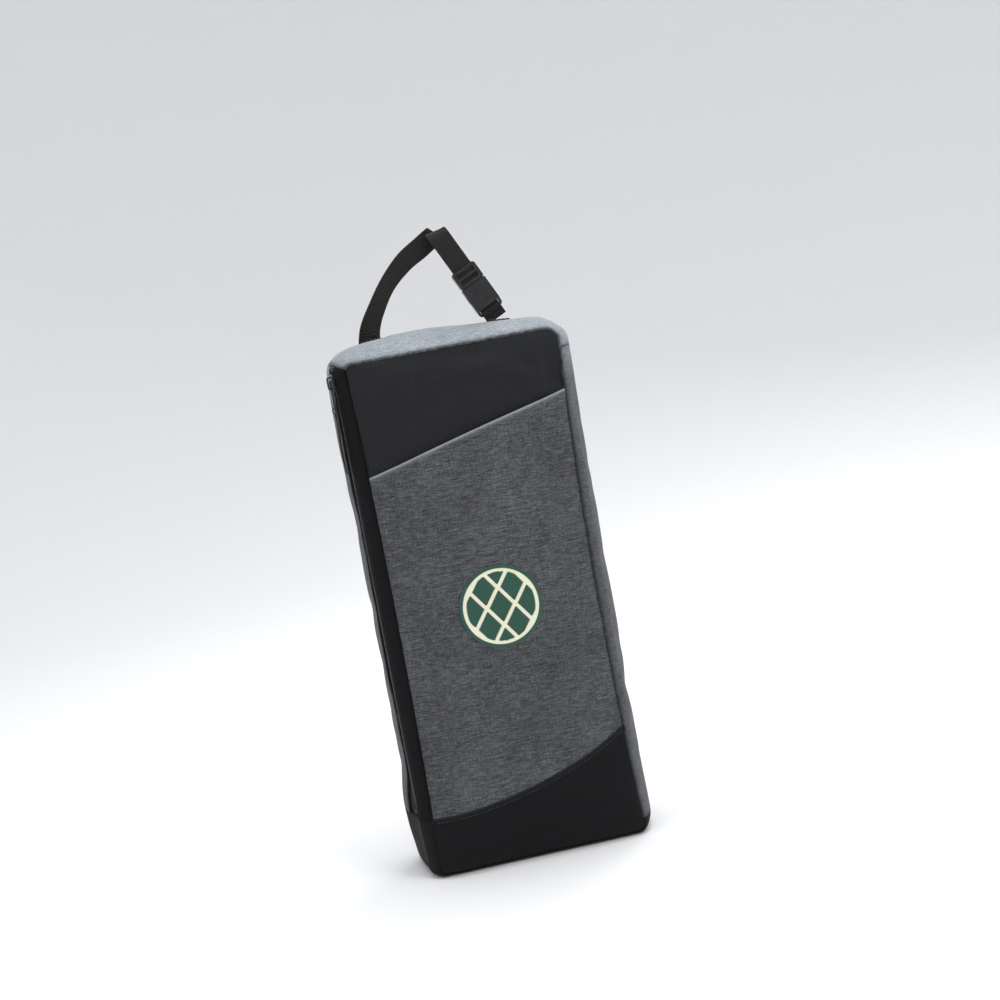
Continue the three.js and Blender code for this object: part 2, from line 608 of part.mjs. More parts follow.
// a flat strip swept through points, each with its own width direction
function sweptStrip(stations, width, thick) {
  const count = 40;
  const centres = new THREE.CatmullRomCurve3(stations.map((s) => new THREE.Vector3(...s.at)));
  const sides = new THREE.CatmullRomCurve3(stations.map((s) => new THREE.Vector3(...s.across)));
  const positions = [];
  for (const t of steps(0, 1, count)) {
    const centre = centres.getPoint(t);
    const across = sides.getPoint(t).normalize();
    const normal = new THREE.Vector3().crossVectors(across, centres.getTangent(t)).normalize();
    for (const [u, v] of [[-1, -1], [1, -1], [1, 1], [-1, 1]]) {
      const corner = centre.clone().addScaledVector(across, (u * width) / 2);
      positions.push(...corner.addScaledVector(normal, (v * thick) / 2));
    }
  }
  const index = [];
  for (let ring = 0; ring < count; ring += 1) {
    for (let k = 0; k < 4; k += 1) {
      const a = 4 * ring + k;
      const b = 4 * ring + ((k + 1) % 4);
      index.push(a, b + 4, b, a, a + 4, b + 4);
    }
  }
  const last = 4 * count;
  index.push(0, 1, 2, 0, 2, 3, last, last + 2, last + 1, last, last + 3, last + 2);
  const geometry = new THREE.BufferGeometry();
  geometry.setAttribute('position', new THREE.Float32BufferAttribute(positions, 3));
  geometry.setIndex(index);
  geometry.computeVertexNormals();
  return geometry;
}

// a point on the buckled leg, s millimetres up from its pivot
function onLeg(s, y) {
  return [FOOT_RIGHT - s * Math.sin(LEAN), y, STRAP_Z + s * Math.cos(LEAN)];
}

// the webbing leaves the left foot flat, twists as it rises, folds over backwards at the top and runs
// straight down into the plug
function strapGeometry() {
  const level = [Math.cos(LEAN), 0, Math.sin(LEAN)];
  const front = STRAP_Y - WEB_PLANE;
  const stations = [
    { at: [FOOT_LEFT, STRAP_Y, STRAP_END], across: [1, 0, 0] },
    { at: [FOOT_LEFT + 2.5, STRAP_Y + 0.4, STRAP_Z + 8], across: [0.97, -0.2, -0.1] },
    { at: [FOOT_LEFT + 9, STRAP_Y + 2, STRAP_Z + 20], across: [0.8, -0.5, -0.33] },
    { at: [FOOT_LEFT + 21, STRAP_Y + 4.5, STRAP_Z + 37], across: [0.64, -0.6, -0.48] },
    { at: [FOOT_LEFT + 36, STRAP_Y + 6.6, STRAP_Z + 51], across: [0.66, -0.45, -0.6] },
    { at: [FOOT_LEFT + 51, STRAP_Y + 8, STRAP_Z + 60], across: [0.8, -0.15, -0.45] },
    { at: onLeg(75.5, STRAP_Y + 5), across: [0.97, 0, -0.1] },
    { at: onLeg(76.5, STRAP_Y + 0.6), across: [0.94, 0, 0.28] },
    { at: onLeg(72, front), across: level },
    { at: onLeg(64, front), across: level },
    { at: onLeg(50, front), across: level },
    { at: onLeg(MOUTH + 4, front), across: level },
  ];
  return sweptStrip(stations, WEB_WIDTH, WEB_THICK);
}

// a stitched patch of webbing lying on the top gusset under each foot
function anchorGeometry(x) {
  const slope = (domeFace(x + 1) - domeFace(x - 1)) / 2;
  const geometry = box(-8, -9, 0, 8, 9, 1);
  geometry.rotateY(-Math.atan(slope));
  geometry.translate(x, STRAP_Y, domeFace(x) + 0.45);
  return geometry;
}

// ---------------------------------------------------------------- assembly
function addPieces(group, pieces) {
  for (const [name, [geometry, material]] of Object.entries(pieces)) {
    const mesh = new THREE.Mesh(geometry, material);
    mesh.name = name;
    group.add(mesh);
  }
}

function buckleGroup() {
  const group = new THREE.Group();
  const across = new THREE.Vector3(Math.cos(LEAN), 0, Math.sin(LEAN));
  const up = new THREE.Vector3(-Math.sin(LEAN), 0, Math.cos(LEAN));
  const front = new THREE.Vector3(0, -1, 0);
  group.applyMatrix4(new THREE.Matrix4().makeBasis(across, up, front));
  group.position.set(FOOT_RIGHT, STRAP_Y, STRAP_Z);
  addPieces(group, {
    buckle_socket: [socketGeometry(), plastic(COLOR.black)],
    buckle_plug: [plugGeometry(), plastic(COLOR.black)],
    buckle_arm_left: [armGeometry(-1), plastic(COLOR.black)],
    buckle_arm_right: [armGeometry(1), plastic(COLOR.black)],
    strap_short_web: [shortWebGeometry(), cloth(COLOR.black)],
  });
  return group;
}

const bag = new THREE.Group();
addPieces(bag, {
  ...backPieces(),
  ...rightPieces(),
  ...leftPieces(),
  ...topPieces(),
  ...basePieces(),
  ...frontPieces(),
  ...zipperPieces(),
  zip_slider: [sliderGeometry(), metal(COLOR.black)],
  zip_pull: [pullGeometry(), metal(COLOR.black)],
  zip_ribbon: [ribbonGeometry(), cloth(COLOR.black)],
  strap_web: [strapGeometry(), cloth(COLOR.black)],
  strap_anchor_left: [anchorGeometry(FOOT_LEFT), cloth(COLOR.black)],
  strap_anchor_right: [anchorGeometry(FOOT_RIGHT), cloth(COLOR.black)],
});
bag.add(buckleGroup());

export default bag;
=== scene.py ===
"""Looks for the golf shoe bag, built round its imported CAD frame. Metres, in the frame's axes."""

import json
import math

import bmesh
import bpy
import numpy as np
from mathutils import Matrix, Vector, noise
from mathutils.bvhtree import BVHTree


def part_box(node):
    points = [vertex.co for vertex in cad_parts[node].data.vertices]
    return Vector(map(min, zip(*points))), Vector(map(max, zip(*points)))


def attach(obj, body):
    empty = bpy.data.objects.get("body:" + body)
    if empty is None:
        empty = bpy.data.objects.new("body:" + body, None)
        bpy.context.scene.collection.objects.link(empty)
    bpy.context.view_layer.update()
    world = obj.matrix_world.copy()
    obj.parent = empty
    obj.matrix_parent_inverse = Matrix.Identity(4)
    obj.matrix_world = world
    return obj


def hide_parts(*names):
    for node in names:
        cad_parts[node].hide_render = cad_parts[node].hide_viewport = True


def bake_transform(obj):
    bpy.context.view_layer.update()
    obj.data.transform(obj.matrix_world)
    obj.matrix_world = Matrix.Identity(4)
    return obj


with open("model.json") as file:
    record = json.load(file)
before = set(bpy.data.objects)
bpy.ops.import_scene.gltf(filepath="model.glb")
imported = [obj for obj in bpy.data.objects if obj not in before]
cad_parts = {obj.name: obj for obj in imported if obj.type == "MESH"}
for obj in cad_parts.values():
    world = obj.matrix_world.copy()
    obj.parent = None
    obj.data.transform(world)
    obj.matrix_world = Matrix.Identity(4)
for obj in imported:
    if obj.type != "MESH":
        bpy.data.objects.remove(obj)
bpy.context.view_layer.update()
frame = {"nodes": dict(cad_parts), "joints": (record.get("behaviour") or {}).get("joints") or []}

MM = 0.001

# ------------------------------------------------------------------ places that the frame gives
PANEL_LOW, PANEL_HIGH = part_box("front_panel")
SEAM_GAP = 0.3 * MM
SEAM_LEFT = PANEL_LOW.x - SEAM_GAP
SEAM_RIGHT = PANEL_HIGH.x + SEAM_GAP
BOTTOM, TOP = PANEL_LOW.z, PANEL_HIGH.z
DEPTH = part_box("back_panel")[1].y  # the seams lie at y = -DEPTH and y = +DEPTH
DOME_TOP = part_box("top_gusset")[1].z
POCKET_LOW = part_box("pocket_panel")[0]
HEM_LOW, HEM_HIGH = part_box("pocket_hem")
LOWER_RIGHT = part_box("front_lower_panel")[1].z
TEETH_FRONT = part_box("zip_teeth_front")
TEETH_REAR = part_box("zip_teeth_rear")
SLIDER_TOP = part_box("zip_slider")[1].z
PULL_LOW, PULL_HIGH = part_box("zip_pull")
RIBBON_LOW, RIBBON_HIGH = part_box("zip_ribbon")
WRAP_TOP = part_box("base_wrap")[1].z
TAPE_REAR_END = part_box("zip_tape_rear")[1].y
EMBLEM_LOW, EMBLEM_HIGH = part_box("emblem_border")
CENTRE = Vector(((SEAM_LEFT + SEAM_RIGHT) / 2, 0, (BOTTOM + TOP) / 2))

# ------------------------------------------------------------------ shape of the sewn shell
PULL_IN_LEFT = 3 * MM  # how far the seams draw in halfway up
PULL_IN_RIGHT = 5.8 * MM
CORNER = {"left_low": 4.5 * MM, "right_low": 6 * MM, "right_high": 12 * MM, "left_high": 4.5 * MM}
RIGHT_BULGE = 10 * MM
RIGHT_WAIST = 1.8 * MM
TOP_BULGE = DOME_TOP - TOP
BASE_BULGE = BOTTOM - 0.1 * MM
# how far the left side stands out: share of the depth, mm
LEFT_PROFILE = [(0, 0), (0.11, 6.0), (0.21, 6.4), (0.4, 8.4), (0.58, 9.4), (0.8, 7.4), (1, 0)]
# the dome's height along x (mm), as a share of its highest point
DOME_ALONG = [
    (-91, 0.5), (-78, 0.76), (-55, 0.975), (-25, 1), (2, 0.99),
    (13, 0.93), (36, 0.83), (59, 0.7), (72, 0.6), (90, 0.5),
]
CLOTH = 1.5 * MM
SPLIT = 0.2  # z where the front's pieces divide, between the two ends that stay sewn
OPEN_TOP = (0.385, 0.25)  # z range given as the ends of the front's upper pieces
OPEN_BOTTOM = (0.045, 0.14)
POCKET_LIFT = 2.1 * MM
LOWER_LIFT = POCKET_LIFT + 0.5 * MM
HEM_WIDTH = 8 * MM
HEM_STITCH = 7 * MM  # from the mouth down to the row of stitches
LOWER_STITCH = 2.6 * MM
MOUTH_CROWN = 1.4 * MM
RIM_STEP = 1.5 * MM  # between places on the rim of the shell
FRONT_SEED, POCKET_SEED, BACK_SEED, GUSSET_SEED, CRINKLE_SEED = 3, 11, 23, 31, 5
FOAM_THICK, LINING_THICK = 3.6 * MM, 0.8 * MM
FOAM_FILL, LINING_FILL = 0.8, 0.5


def smoothstep(t):
    t = np.clip(t, 0, 1)
    return t * t * (3 - 2 * t)


def ease(distance, width, power=2.6):
    """0 at a seam, rising to 1 a width away from it."""
    return 1 - (1 - np.clip(distance / width, 0, 1)) ** power


def catmull(knots, t):
    """A smooth line through (position, value) knots."""
    xs = np.array([k[0] for k in knots], float)
    ys = np.array([k[1] for k in knots], float)
    slopes = np.gradient(ys, xs)
    i = np.clip(np.searchsorted(xs, t) - 1, 0, len(xs) - 2)
    span = xs[i + 1] - xs[i]
    u = (np.clip(t, xs[0], xs[-1]) - xs[i]) / span
    h00, h10 = 2 * u**3 - 3 * u**2 + 1, u**3 - 2 * u**2 + u
    h01, h11 = -2 * u**3 + 3 * u**2, u**3 - u**2
    return h00 * ys[i] + h10 * span * slopes[i] + h01 * ys[i + 1] + h11 * span * slopes[i + 1]


def field(points, size, seed):
    """Smooth noise from -1 to 1 at each point, whose lumps are about size across."""
    flat = np.asarray(points, float).reshape(-1, 3) / size + seed * 7.31
    found = np.array([noise.noise(Vector(p)) for p in flat])
    return found.reshape(np.asarray(points).shape[:-1]) * 1.6


def waist(z):
    share = np.clip((z - BOTTOM) / (TOP - BOTTOM), 0, 1)
    return np.sin(math.pi * share) ** 0.7


def corner_inset(distance, radius):
    d = np.clip(distance, 0, radius)
    return radius - np.sqrt(np.maximum(radius**2 - (radius - d) ** 2, 0))


def left_edge(z):
    rounding = corner_inset(TOP - z, CORNER["left_high"]) + corner_inset(z - BOTTOM, CORNER["left_low"])
    return SEAM_LEFT + PULL_IN_LEFT * waist(z) + rounding


def right_edge(z):
    rounding = corner_inset(TOP - z, CORNER["right_high"]) + corner_inset(z - BOTTOM, CORNER["right_low"])
    return SEAM_RIGHT - PULL_IN_RIGHT * waist(z) - rounding


def mouth(x):
    """z of the pocket's slanted mouth, with a slight crown."""
    share = (x - SEAM_LEFT) / (SEAM_RIGHT - SEAM_LEFT)
    crown = MOUTH_CROWN * np.sin(math.pi * np.clip(share, 0, 1))
    return MOUTH_LEFT + (MOUTH_RIGHT - MOUTH_LEFT) * share + crown


def lower_edge(x):
    """z of the lower panel's curved top edge."""
    share = np.clip((x - SEAM_LEFT) / (SEAM_RIGHT - SEAM_LEFT), 0, 1)
    return LOWER_LEFT + (LOWER_RIGHT - LOWER_LEFT) * share**2


MOUTH_RISE = (HEM_HIGH.z - HEM_LOW.z) - HEM_WIDTH  # the hem's box holds the slant and its width
MOUTH_RIGHT = HEM_HIGH.z
MOUTH_LEFT = HEM_HIGH.z - MOUTH_RISE
LOWER_LEFT = POCKET_LOW.z - SEAM_GAP


# ------------------------------------------------------------------ meshes
def add_mesh(name, points, faces, material):
    mesh = bpy.data.meshes.new(name)
    mesh.from_pydata([tuple(p) for p in points], [], faces)
    mesh.update()
    obj = bpy.data.objects.new(name, mesh)
    bpy.context.scene.collection.objects.link(obj)
    mesh.materials.append(material)
    mesh.polygons.foreach_set("use_smooth", [True] * len(mesh.polygons))
    return obj


def unit(vectors):
    return vectors / np.maximum(np.linalg.norm(vectors, axis=-1, keepdims=True), 1e-12)


def grid_normals(grid):
    return unit(np.cross(np.gradient(grid, axis=1), np.gradient(grid, axis=0)))


def edge_closeness(grid, sides, reach):
    """1 at the chosen borders of a grid, fading to 0 inside."""
    across = np.linalg.norm(np.diff(grid, axis=1), axis=-1)
    along = np.linalg.norm(np.diff(grid, axis=0), axis=-1)
    left = np.concatenate([np.zeros((grid.shape[0], 1)), np.cumsum(across, axis=1)], axis=1)
    low = np.concatenate([np.zeros((1, grid.shape[1])), np.cumsum(along, axis=0)], axis=0)
    found = {"left": left, "right": left[:, -1:] - left, "low": low, "high": low[-1:] - low}
    near = np.full(grid.shape[:2], 1.0)
    for side in sides:
        near = np.minimum(near, found[side])
    return np.exp(-near / reach)


def border(rows, cols):
    """Indices of a grid's border, once round."""
    loop = [(0, c) for c in range(cols)]
    loop += [(r, cols - 1) for r in range(1, rows)]
    loop += [(rows - 1, c) for c in range(cols - 2, -1, -1)]
    loop += [(r, 0) for r in range(rows - 2, 0, -1)]
    return loop


ALL_SIDES = ("left", "right", "low", "high")


def cloth_piece(name, grid, thick, material, towards=None, worn_and_highlit=(), shaded_sides=ALL_SIDES, cut=()):
    """A closed sheet of cloth: the grid is its outer face, and its edges are folded round.

    A cut side is left square, to meet the next piece of the same cloth. The material reads two attributes:
    one high along the borders that rub, where it paints wear together with a painted highlight on the
    folded edge, and one high along the seams, where it paints the shade that falls into them."""
    fold = 3
    rows, cols = grid.shape[:2]
    normals = grid_normals(grid)
    if towards is None:
        hint = grid - np.array(CENTRE)
    else:
        hint = np.broadcast_to(np.array(towards), grid.shape)
    turned = float((normals * hint).sum()) < 0
    if turned:
        normals = -normals
    inner = grid - normals * thick
    loop = border(rows, cols)
    rim = []
    low, high = 1 - ("low" in cut), rows - 2 + ("high" in cut)
    left, right = 1 - ("left" in cut), cols - 2 + ("right" in cut)
    for r, c in loop:
        inside = grid[min(max(r, low), high), min(max(c, left), right)]
        out = grid[r, c] - inside
        out = out - normals[r, c] * out.dot(normals[r, c])
        rim.append(out / max(np.linalg.norm(out), 1e-12))
    rim = np.array(rim)
    at = np.array([grid[r, c] for r, c in loop])
    normal = np.array([normals[r, c] for r, c in loop])
    middle = at - normal * thick / 2
    points = [grid.reshape(-1, 3), inner.reshape(-1, 3)]
    for k in range(1, fold + 1):
        angle = math.pi * k / (fold + 1)
        points.append(middle + (normal * math.cos(angle) + rim * math.sin(angle)) * thick / 2)
    count = rows * cols
    faces = []
    for r in range(rows - 1):
        for c in range(cols - 1):
            a, b = r * cols + c, r * cols + c + 1
            d, e = a + cols, b + cols
            faces.append((a, b, e, d))
            faces.append((a + count, d + count, e + count, b + count))
    size = len(loop)
    outer_ids = [r * cols + c for r, c in loop]
    rings = [outer_ids]
    rings += [[2 * count + k * size + i for i in range(size)] for k in range(fold)]
    rings.append([i + count for i in outer_ids])
    for ring, following in zip(rings, rings[1:]):
        for i in range(size):
            j = (i + 1) % size
            faces.append((ring[j], ring[i], following[i], following[j]))
    if turned:
        faces = [face[::-1] for face in faces]
    obj = add_mesh(name, np.concatenate(points), faces, material)
    if cut:
        smooth_by_angle(obj, 60)
    # wear with a painted highlight along rubbed borders, and painted shade along the seams
    for attribute, sides, reach in (("wear", worn_and_highlit, 0.9 * MM), ("seam", shaded_sides, 1.3 * MM)):
        close = edge_closeness(grid, sides, reach)
        rim_values = [close[r, c] for r, c in loop]
        values = np.concatenate([close.reshape(-1), close.reshape(-1), np.tile(rim_values, fold)])
        layer = obj.data.attributes.new(attribute, "FLOAT", "POINT")
        layer.data.foreach_set("value", values.astype(np.float32))
    return obj


def tube_grid(name, rings, material):
    """A closed tube through rings of points, each ring once round."""
    rings = np.asarray(rings)
    count, size = rings.shape[:2]
    faces = []
    for r in range(count - 1):
        for k in range(size):
            a, b = r * size + k, r * size + (k + 1) % size
            faces.append((a, b, b + size, a + size))
    faces.append(tuple(range(size))[::-1])
    faces.append(tuple((count - 1) * size + k for k in range(size)))
    obj = add_mesh(name, rings.reshape(-1, 3), faces, material)
    outward(obj)
    return obj


def outward(obj):
    bm = bmesh.new()
    bm.from_mesh(obj.data)
    bmesh.ops.recalc_face_normals(bm, faces=bm.faces)
    bm.to_mesh(obj.data)
    bm.free()


def smooth_by_angle(obj, degrees=35):
    """Smooth shading, with edges sharper than this left crisp."""
    limit = math.radians(degrees)
    bm = bmesh.new()
    bm.from_mesh(obj.data)
    for face in bm.faces:
        face.smooth = True
    for edge in bm.edges:
        edge.smooth = len(edge.link_faces) == 2 and edge.calc_face_angle() < limit
    bm.to_mesh(obj.data)
    bm.free()


def arc(cx, cy, radius, start, end, count):
    angles = [math.radians(start + (end - start) * i / count) for i in range(count + 1)]
    return [(cx + radius * math.cos(a), cy + radius * math.sin(a)) for a in angles]


def rounded_rectangle(x0, y0, x1, y1, r, count=5):
    return (
        arc(x1 - r, y0 + r, r, -90, 0, count)
        + arc(x1 - r, y1 - r, r, 0, 90, count)
        + arc(x0 + r, y1 - r, r, 90, 180, count)
        + arc(x0 + r, y0 + r, r, 180, 270, count)
    )


def place(obj, body, nodes=(), ends=None):
    """Attaches a piece to its body's empty, or, when ends are given, only bakes its transform; and hides
    the CAD parts it stands for.
    """
    if ends is None:
        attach(obj, body)
    else:
        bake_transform(obj)
    if nodes:
        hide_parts(*nodes)
    return obj


# ------------------------------------------------------------------ materials
class Nodes:
    """A short way to write a material's node tree."""

    def __init__(self, name):
        self.material = bpy.data.materials.new(name)
        self.material.use_nodes = True
        self.tree = self.material.node_tree
        self.shader = self.tree.nodes["Principled BSDF"]
        self.place = self.add("ShaderNodeTexCoord").outputs["Object"]

    def add(self, kind, **values):
        node = self.tree.nodes.new(kind)
        for key, value in values.items():
            if hasattr(node, key):
                setattr(node, key, value)
            else:
                node.inputs[key].default_value = value
        return node

    def link(self, source, target):
        self.tree.links.new(source, target)

    def stretched(self, size, turn=(0, 0, 0)):
        """Object coordinates in which one noise cell is size = (x, y, z) metres."""
        mapping = self.add("ShaderNodeMapping")
        mapping.inputs["Scale"].default_value = [1 / s for s in size]
        mapping.inputs["Rotation"].default_value = turn
        self.link(self.place, mapping.inputs["Vector"])
        return mapping.outputs[0]

    def noise(self, size, detail=2):
        node = self.add("ShaderNodeTexNoise", Scale=1.0, Detail=detail)
        self.link(self.stretched(size), node.inputs["Vector"])
        return node.outputs["Fac"]

    def bands(self, direction, pitch, distortion=0.6, turn=(0, 0, 0)):
        """Even ridges across one axis."""
        node = self.add("ShaderNodeTexWave", wave_type="BANDS", bands_direction=direction)
        node.inputs["Scale"].default_value = 2 * math.pi / 20
        node.inputs["Distortion"].default_value = distortion
        node.inputs["Detail"].default_value = 1
        self.link(self.stretched((pitch, pitch, pitch), turn), node.inputs["Vector"])
        return node.outputs["Fac"]

    def math(self, operation, a, b):
        node = self.add("ShaderNodeMath", operation=operation)
        for socket, value in zip(node.inputs, (a, b)):
            if isinstance(value, (int, float)):
                socket.default_value = value
            else:
                self.link(value, socket)
        return node.outputs[0]

    def ramp(self, factor, stops):
        node = self.add("ShaderNodeValToRGB")
        elements = node.color_ramp.elements
        while len(elements) < len(stops):
            elements.new(0.5)
        for element, (position, color) in zip(elements, stops):
            element.position = position
            element.color = (*color, 1)
        self.link(factor, node.inputs["Fac"])
        return node.outputs["Color"]

    def mix(self, factor, a, b):
        node = self.add("ShaderNodeMix", data_type="RGBA")
        inputs = {"Factor": node.inputs[0], "A": node.inputs[6], "B": node.inputs[7]}
        for key, value in (("Factor", factor), ("A", a), ("B", b)):
            if isinstance(value, tuple):
                inputs[key].default_value = (*value, 1)
            elif isinstance(value, (int, float)):
                inputs[key].default_value = value
            else:
                self.link(value, inputs[key])
        return node.outputs[2]

    def near(self, attribute, strength):
        """How near a piece's chosen borders are, unevenly: rubbed ones for wear with a painted highlight,
        seams for painted shade.
        """
        close = self.add("ShaderNodeAttribute", attribute_name=attribute)
        patchy = self.math("ADD", self.noise((4 * MM, 4 * MM, 4 * MM)), 0.5)
        return self.math("MULTIPLY", self.math("MULTIPLY", close.outputs["Fac"], patchy), strength)

    def finish(self, color, height, bump_height, roughness=0.85, sheen=0.1, metallic=0.0):
        bump = self.add("ShaderNodeBump", Strength=1.0, Distance=bump_height)
        self.link(height, bump.inputs["Height"])
        self.link(bump.outputs[0], self.shader.inputs["Normal"])
        self.link(color, self.shader.inputs["Base Color"])
        self.shader.inputs["Roughness"].default_value = roughness
        self.shader.inputs["Sheen Weight"].default_value = sheen
        self.shader.inputs["Sheen Roughness"].default_value = 0.5
        self.shader.inputs["Metallic"].default_value = metallic
        self.shader.inputs["Specular IOR Level"].default_value = 0.35
        return self.material


def grey(level, blue=1.06):
    """A grey that leans to blue as the photo's cloth does."""
    return (level * (1.5 - blue / 2), level, level * blue)


# the threads' grain in mm, warp then weft, on the front and the sides, and on the top
UPRIGHT = ((0.55, 0.55, 4.5), (6.5, 6.5, 0.55))
LYING = ((0.55, 4.5, 2.0), (6.5, 0.55, 2.0))
TONES = (0.38, 0.5, 0.62)  # where a heather's three shades lie on its ramp
PAINTED_LIGHT_FROM = 0.34  # z above which the side cloth's colour is painted paler, towards the top's shades: painted light from above


def heather(name, dark, middle, light, grain=UPRIGHT, painted_top_light=None):
    """Melange cloth: pale and dark threads, mixed along the warp and the weft."""
    n = Nodes(name)
    warp = n.noise([size * MM for size in grain[0]], 2)
    weft = n.noise([size * MM for size in grain[1]], 2)
    fleck = n.noise((0.9 * MM, 0.9 * MM, 0.7 * MM), 2)
    cloudy = n.noise((28 * MM, 28 * MM, 40 * MM), 2)
    threads = n.math("ADD", n.math("MULTIPLY", warp, 0.28), n.math("MULTIPLY", weft, 0.46))
    mixed = n.math("ADD", threads, n.math("MULTIPLY", fleck, 0.26))
    mixed = n.math("ADD", mixed, n.math("MULTIPLY", n.math("SUBTRACT", cloudy, 0.5), 0.12))
    color = n.ramp(mixed, list(zip(TONES, (dark, middle, light))))
    # painted light from above: the cloth's colour grades to the pale shades towards the top
    if painted_top_light is not None:
        low, high, pale = painted_top_light
        height = n.add("ShaderNodeSeparateXYZ")
        n.link(n.place, height.inputs[0])
        share = n.add("ShaderNodeMapRange", interpolation_type="SMOOTHSTEP")
        share.inputs["From Min"].default_value = low
        share.inputs["From Max"].default_value = high
        n.link(height.outputs["Z"], share.inputs["Value"])
        color = n.mix(share.outputs["Result"], color, n.ramp(mixed, list(zip(TONES, pale))))
    # painted highlight along the rubbed, folded edges, together with wear
    color = n.mix(n.near("wear", 1.0), color, tuple(c * 2.0 for c in light))
    # painted shade falling into the seams
    color = n.mix(n.near("seam", 0.85), color, tuple(c * 0.12 for c in dark))
    return n.finish(color, mixed, 0.4 * MM, 0.9, 0.1)


def ribbed(
    name, base, light, pitch=1.7, direction="X", depth=0.3, worn_and_highlit=0.5, sheen=0.1, roughness=0.8, gloss=0.14
):
    """Black polyester with fine ribs."""
    n = Nodes(name)
    ribs = n.bands(direction, pitch * MM, 0.8)
    threads = n.noise((0.8 * MM, 0.8 * MM, 2.4 * MM), 2)
    cloudy = n.noise((22 * MM, 22 * MM, 30 * MM), 3)
    lit = n.math("ADD", n.math("MULTIPLY", ribs, 0.45), n.math("MULTIPLY", threads, 0.35))
    lit = n.math("ADD", lit, n.math("MULTIPLY", cloudy, 0.2))
    color = n.ramp(lit, [(0.25, base), (0.75, light)])
    # painted highlight along the rubbed, folded edges, together with wear
    color = n.mix(n.near("wear", worn_and_highlit), color, tuple(c * 2.2 for c in light))
    # painted shade falling into the seams
    color = n.mix(n.near("seam", 0.8), color, (0.001, 0.001, 0.001))
    height = n.math("ADD", ribs, n.math("MULTIPLY", threads, 0.5))
    n.finish(color, height, depth * MM, roughness, sheen)
    n.shader.inputs["Specular IOR Level"].default_value = gloss
    return n.material


def moulded(name, base, roughness=0.38, grain=0.05, metallic=0.0):
    """Moulded or painted: a fine grain, smudges and slightly paler rubbed spots."""
    n = Nodes(name)
    fine = n.noise((0.35 * MM, 0.35 * MM, 0.35 * MM), 3)
    smudge = n.noise((5 * MM, 5 * MM, 7 * MM), 3)
    color = n.ramp(smudge, [(0.35, base), (0.7, tuple(c * 1.8 for c in base))])
    material = n.finish(color, fine, grain * MM, roughness, 0.0, metallic)
    gloss = n.add("ShaderNodeMapRange")
    gloss.inputs["To Min"].default_value = roughness - 0.1
    gloss.inputs["To Max"].default_value = roughness + 0.15
    n.link(smudge, gloss.inputs["Value"])
    n.link(gloss.outputs["Result"], n.shader.inputs["Roughness"])
    n.shader.inputs["Specular IOR Level"].default_value = 0.5
    return material


def thread(name, base, light):
    n = Nodes(name)
    ply = n.bands("DIAGONAL", 0.5 * MM, 1.5)
    color = n.ramp(ply, [(0.2, base), (0.8, light)])
    return n.finish(color, ply, 0.1 * MM, 0.6, 0.2)


def foam_material():
    n = Nodes("closed_cell_foam")
    cells = n.add("ShaderNodeTexVoronoi", Scale=1.0)
    n.link(n.stretched((1.4 * MM,) * 3), cells.inputs["Vector"])
    color = n.ramp(cells.outputs["Distance"], [(0.1, grey(0.035)), (0.8, grey(0.075))])
    return n.finish(color, cells.outputs["Distance"], 0.25 * MM, 0.95, 0.1)


def lining_material():
    n = Nodes("coated_lining")
    crinkle = n.noise((9 * MM, 9 * MM, 12 * MM), 4)
    fine = n.math("MULTIPLY", n.bands("X", 0.7 * MM), n.bands("Z", 0.7 * MM))
    color = n.ramp(crinkle, [(0.3, grey(0.36)), (0.7, grey(0.5))])
    height = n.math("ADD", n.math("MULTIPLY", crinkle, 3.0), n.math("MULTIPLY", fine, 0.2))
    return n.finish(color, height, 0.35 * MM, 0.45, 0.0)


def satin_stitch(name, base, light, turn):
    """Embroidery: dense parallel threads."""
    n = Nodes(name)
    rows = n.bands("X", 0.55 * MM, 0.4, turn)
    soft = n.noise((3 * MM, 3 * MM, 3 * MM), 2)
    color = n.mix(n.math("MULTIPLY", soft, 0.5), n.ramp(rows, [(0.2, base), (0.8, light)]), light)
    return n.finish(color, rows, 0.12 * MM, 0.55, 0.4)


GRAPHITE = heather("graphite_heather", grey(0.021, 1.07), grey(0.058, 1.07), grey(0.13, 1.07))
SLATE_SHADES = ((0.13, 0.15, 0.165), (0.24, 0.27, 0.295), (0.37, 0.4, 0.43))
SLATE = heather("slate_heather", *SLATE_SHADES, LYING)
# the side gussets carry painted light from above, paler towards the top
GUSSET = heather(
    "gusset_heather", grey(0.026, 1.1), grey(0.062, 1.1), grey(0.125, 1.1),
    painted_top_light=(PAINTED_LIGHT_FROM, TOP, SLATE_SHADES),
)
RIBBED = ribbed(
    "black_polyester", grey(0.005, 1.14), grey(0.0135, 1.14), 1.5, depth=0.14, roughness=0.6, gloss=0.18
)
BLACK = ribbed(
    "black_base_cloth", grey(0.0045, 1.1), grey(0.0095, 1.1), 0.8, "Z", 0.06, sheen=0.04, gloss=0.11
)
TAPE = ribbed("zipper_tape", grey(0.004, 1.1), grey(0.0085, 1.1), 1.1, "Z", 0.12, 0.3, 0.03, gloss=0.09)
WEBBING = ribbed("webbing", (0.011, 0.010, 0.0095), (0.026, 0.024, 0.022), 1.5, "Z", 0.2, 0.8, 0.1, 0.7)
COIL = moulded("coil_nylon", grey(0.022), 0.35, 0.02)
SLIDER_METAL = moulded("painted_slider", grey(0.016), 0.28, 0.03, 0.4)
PLASTIC = moulded("buckle_plastic", grey(0.006), 0.3, 0.04)
THREAD_BLACK = thread("black_thread", grey(0.012), grey(0.035))
THREAD_GREY = thread("graphite_thread", grey(0.06), grey(0.13))
FOAM = foam_material()
LINING = lining_material()
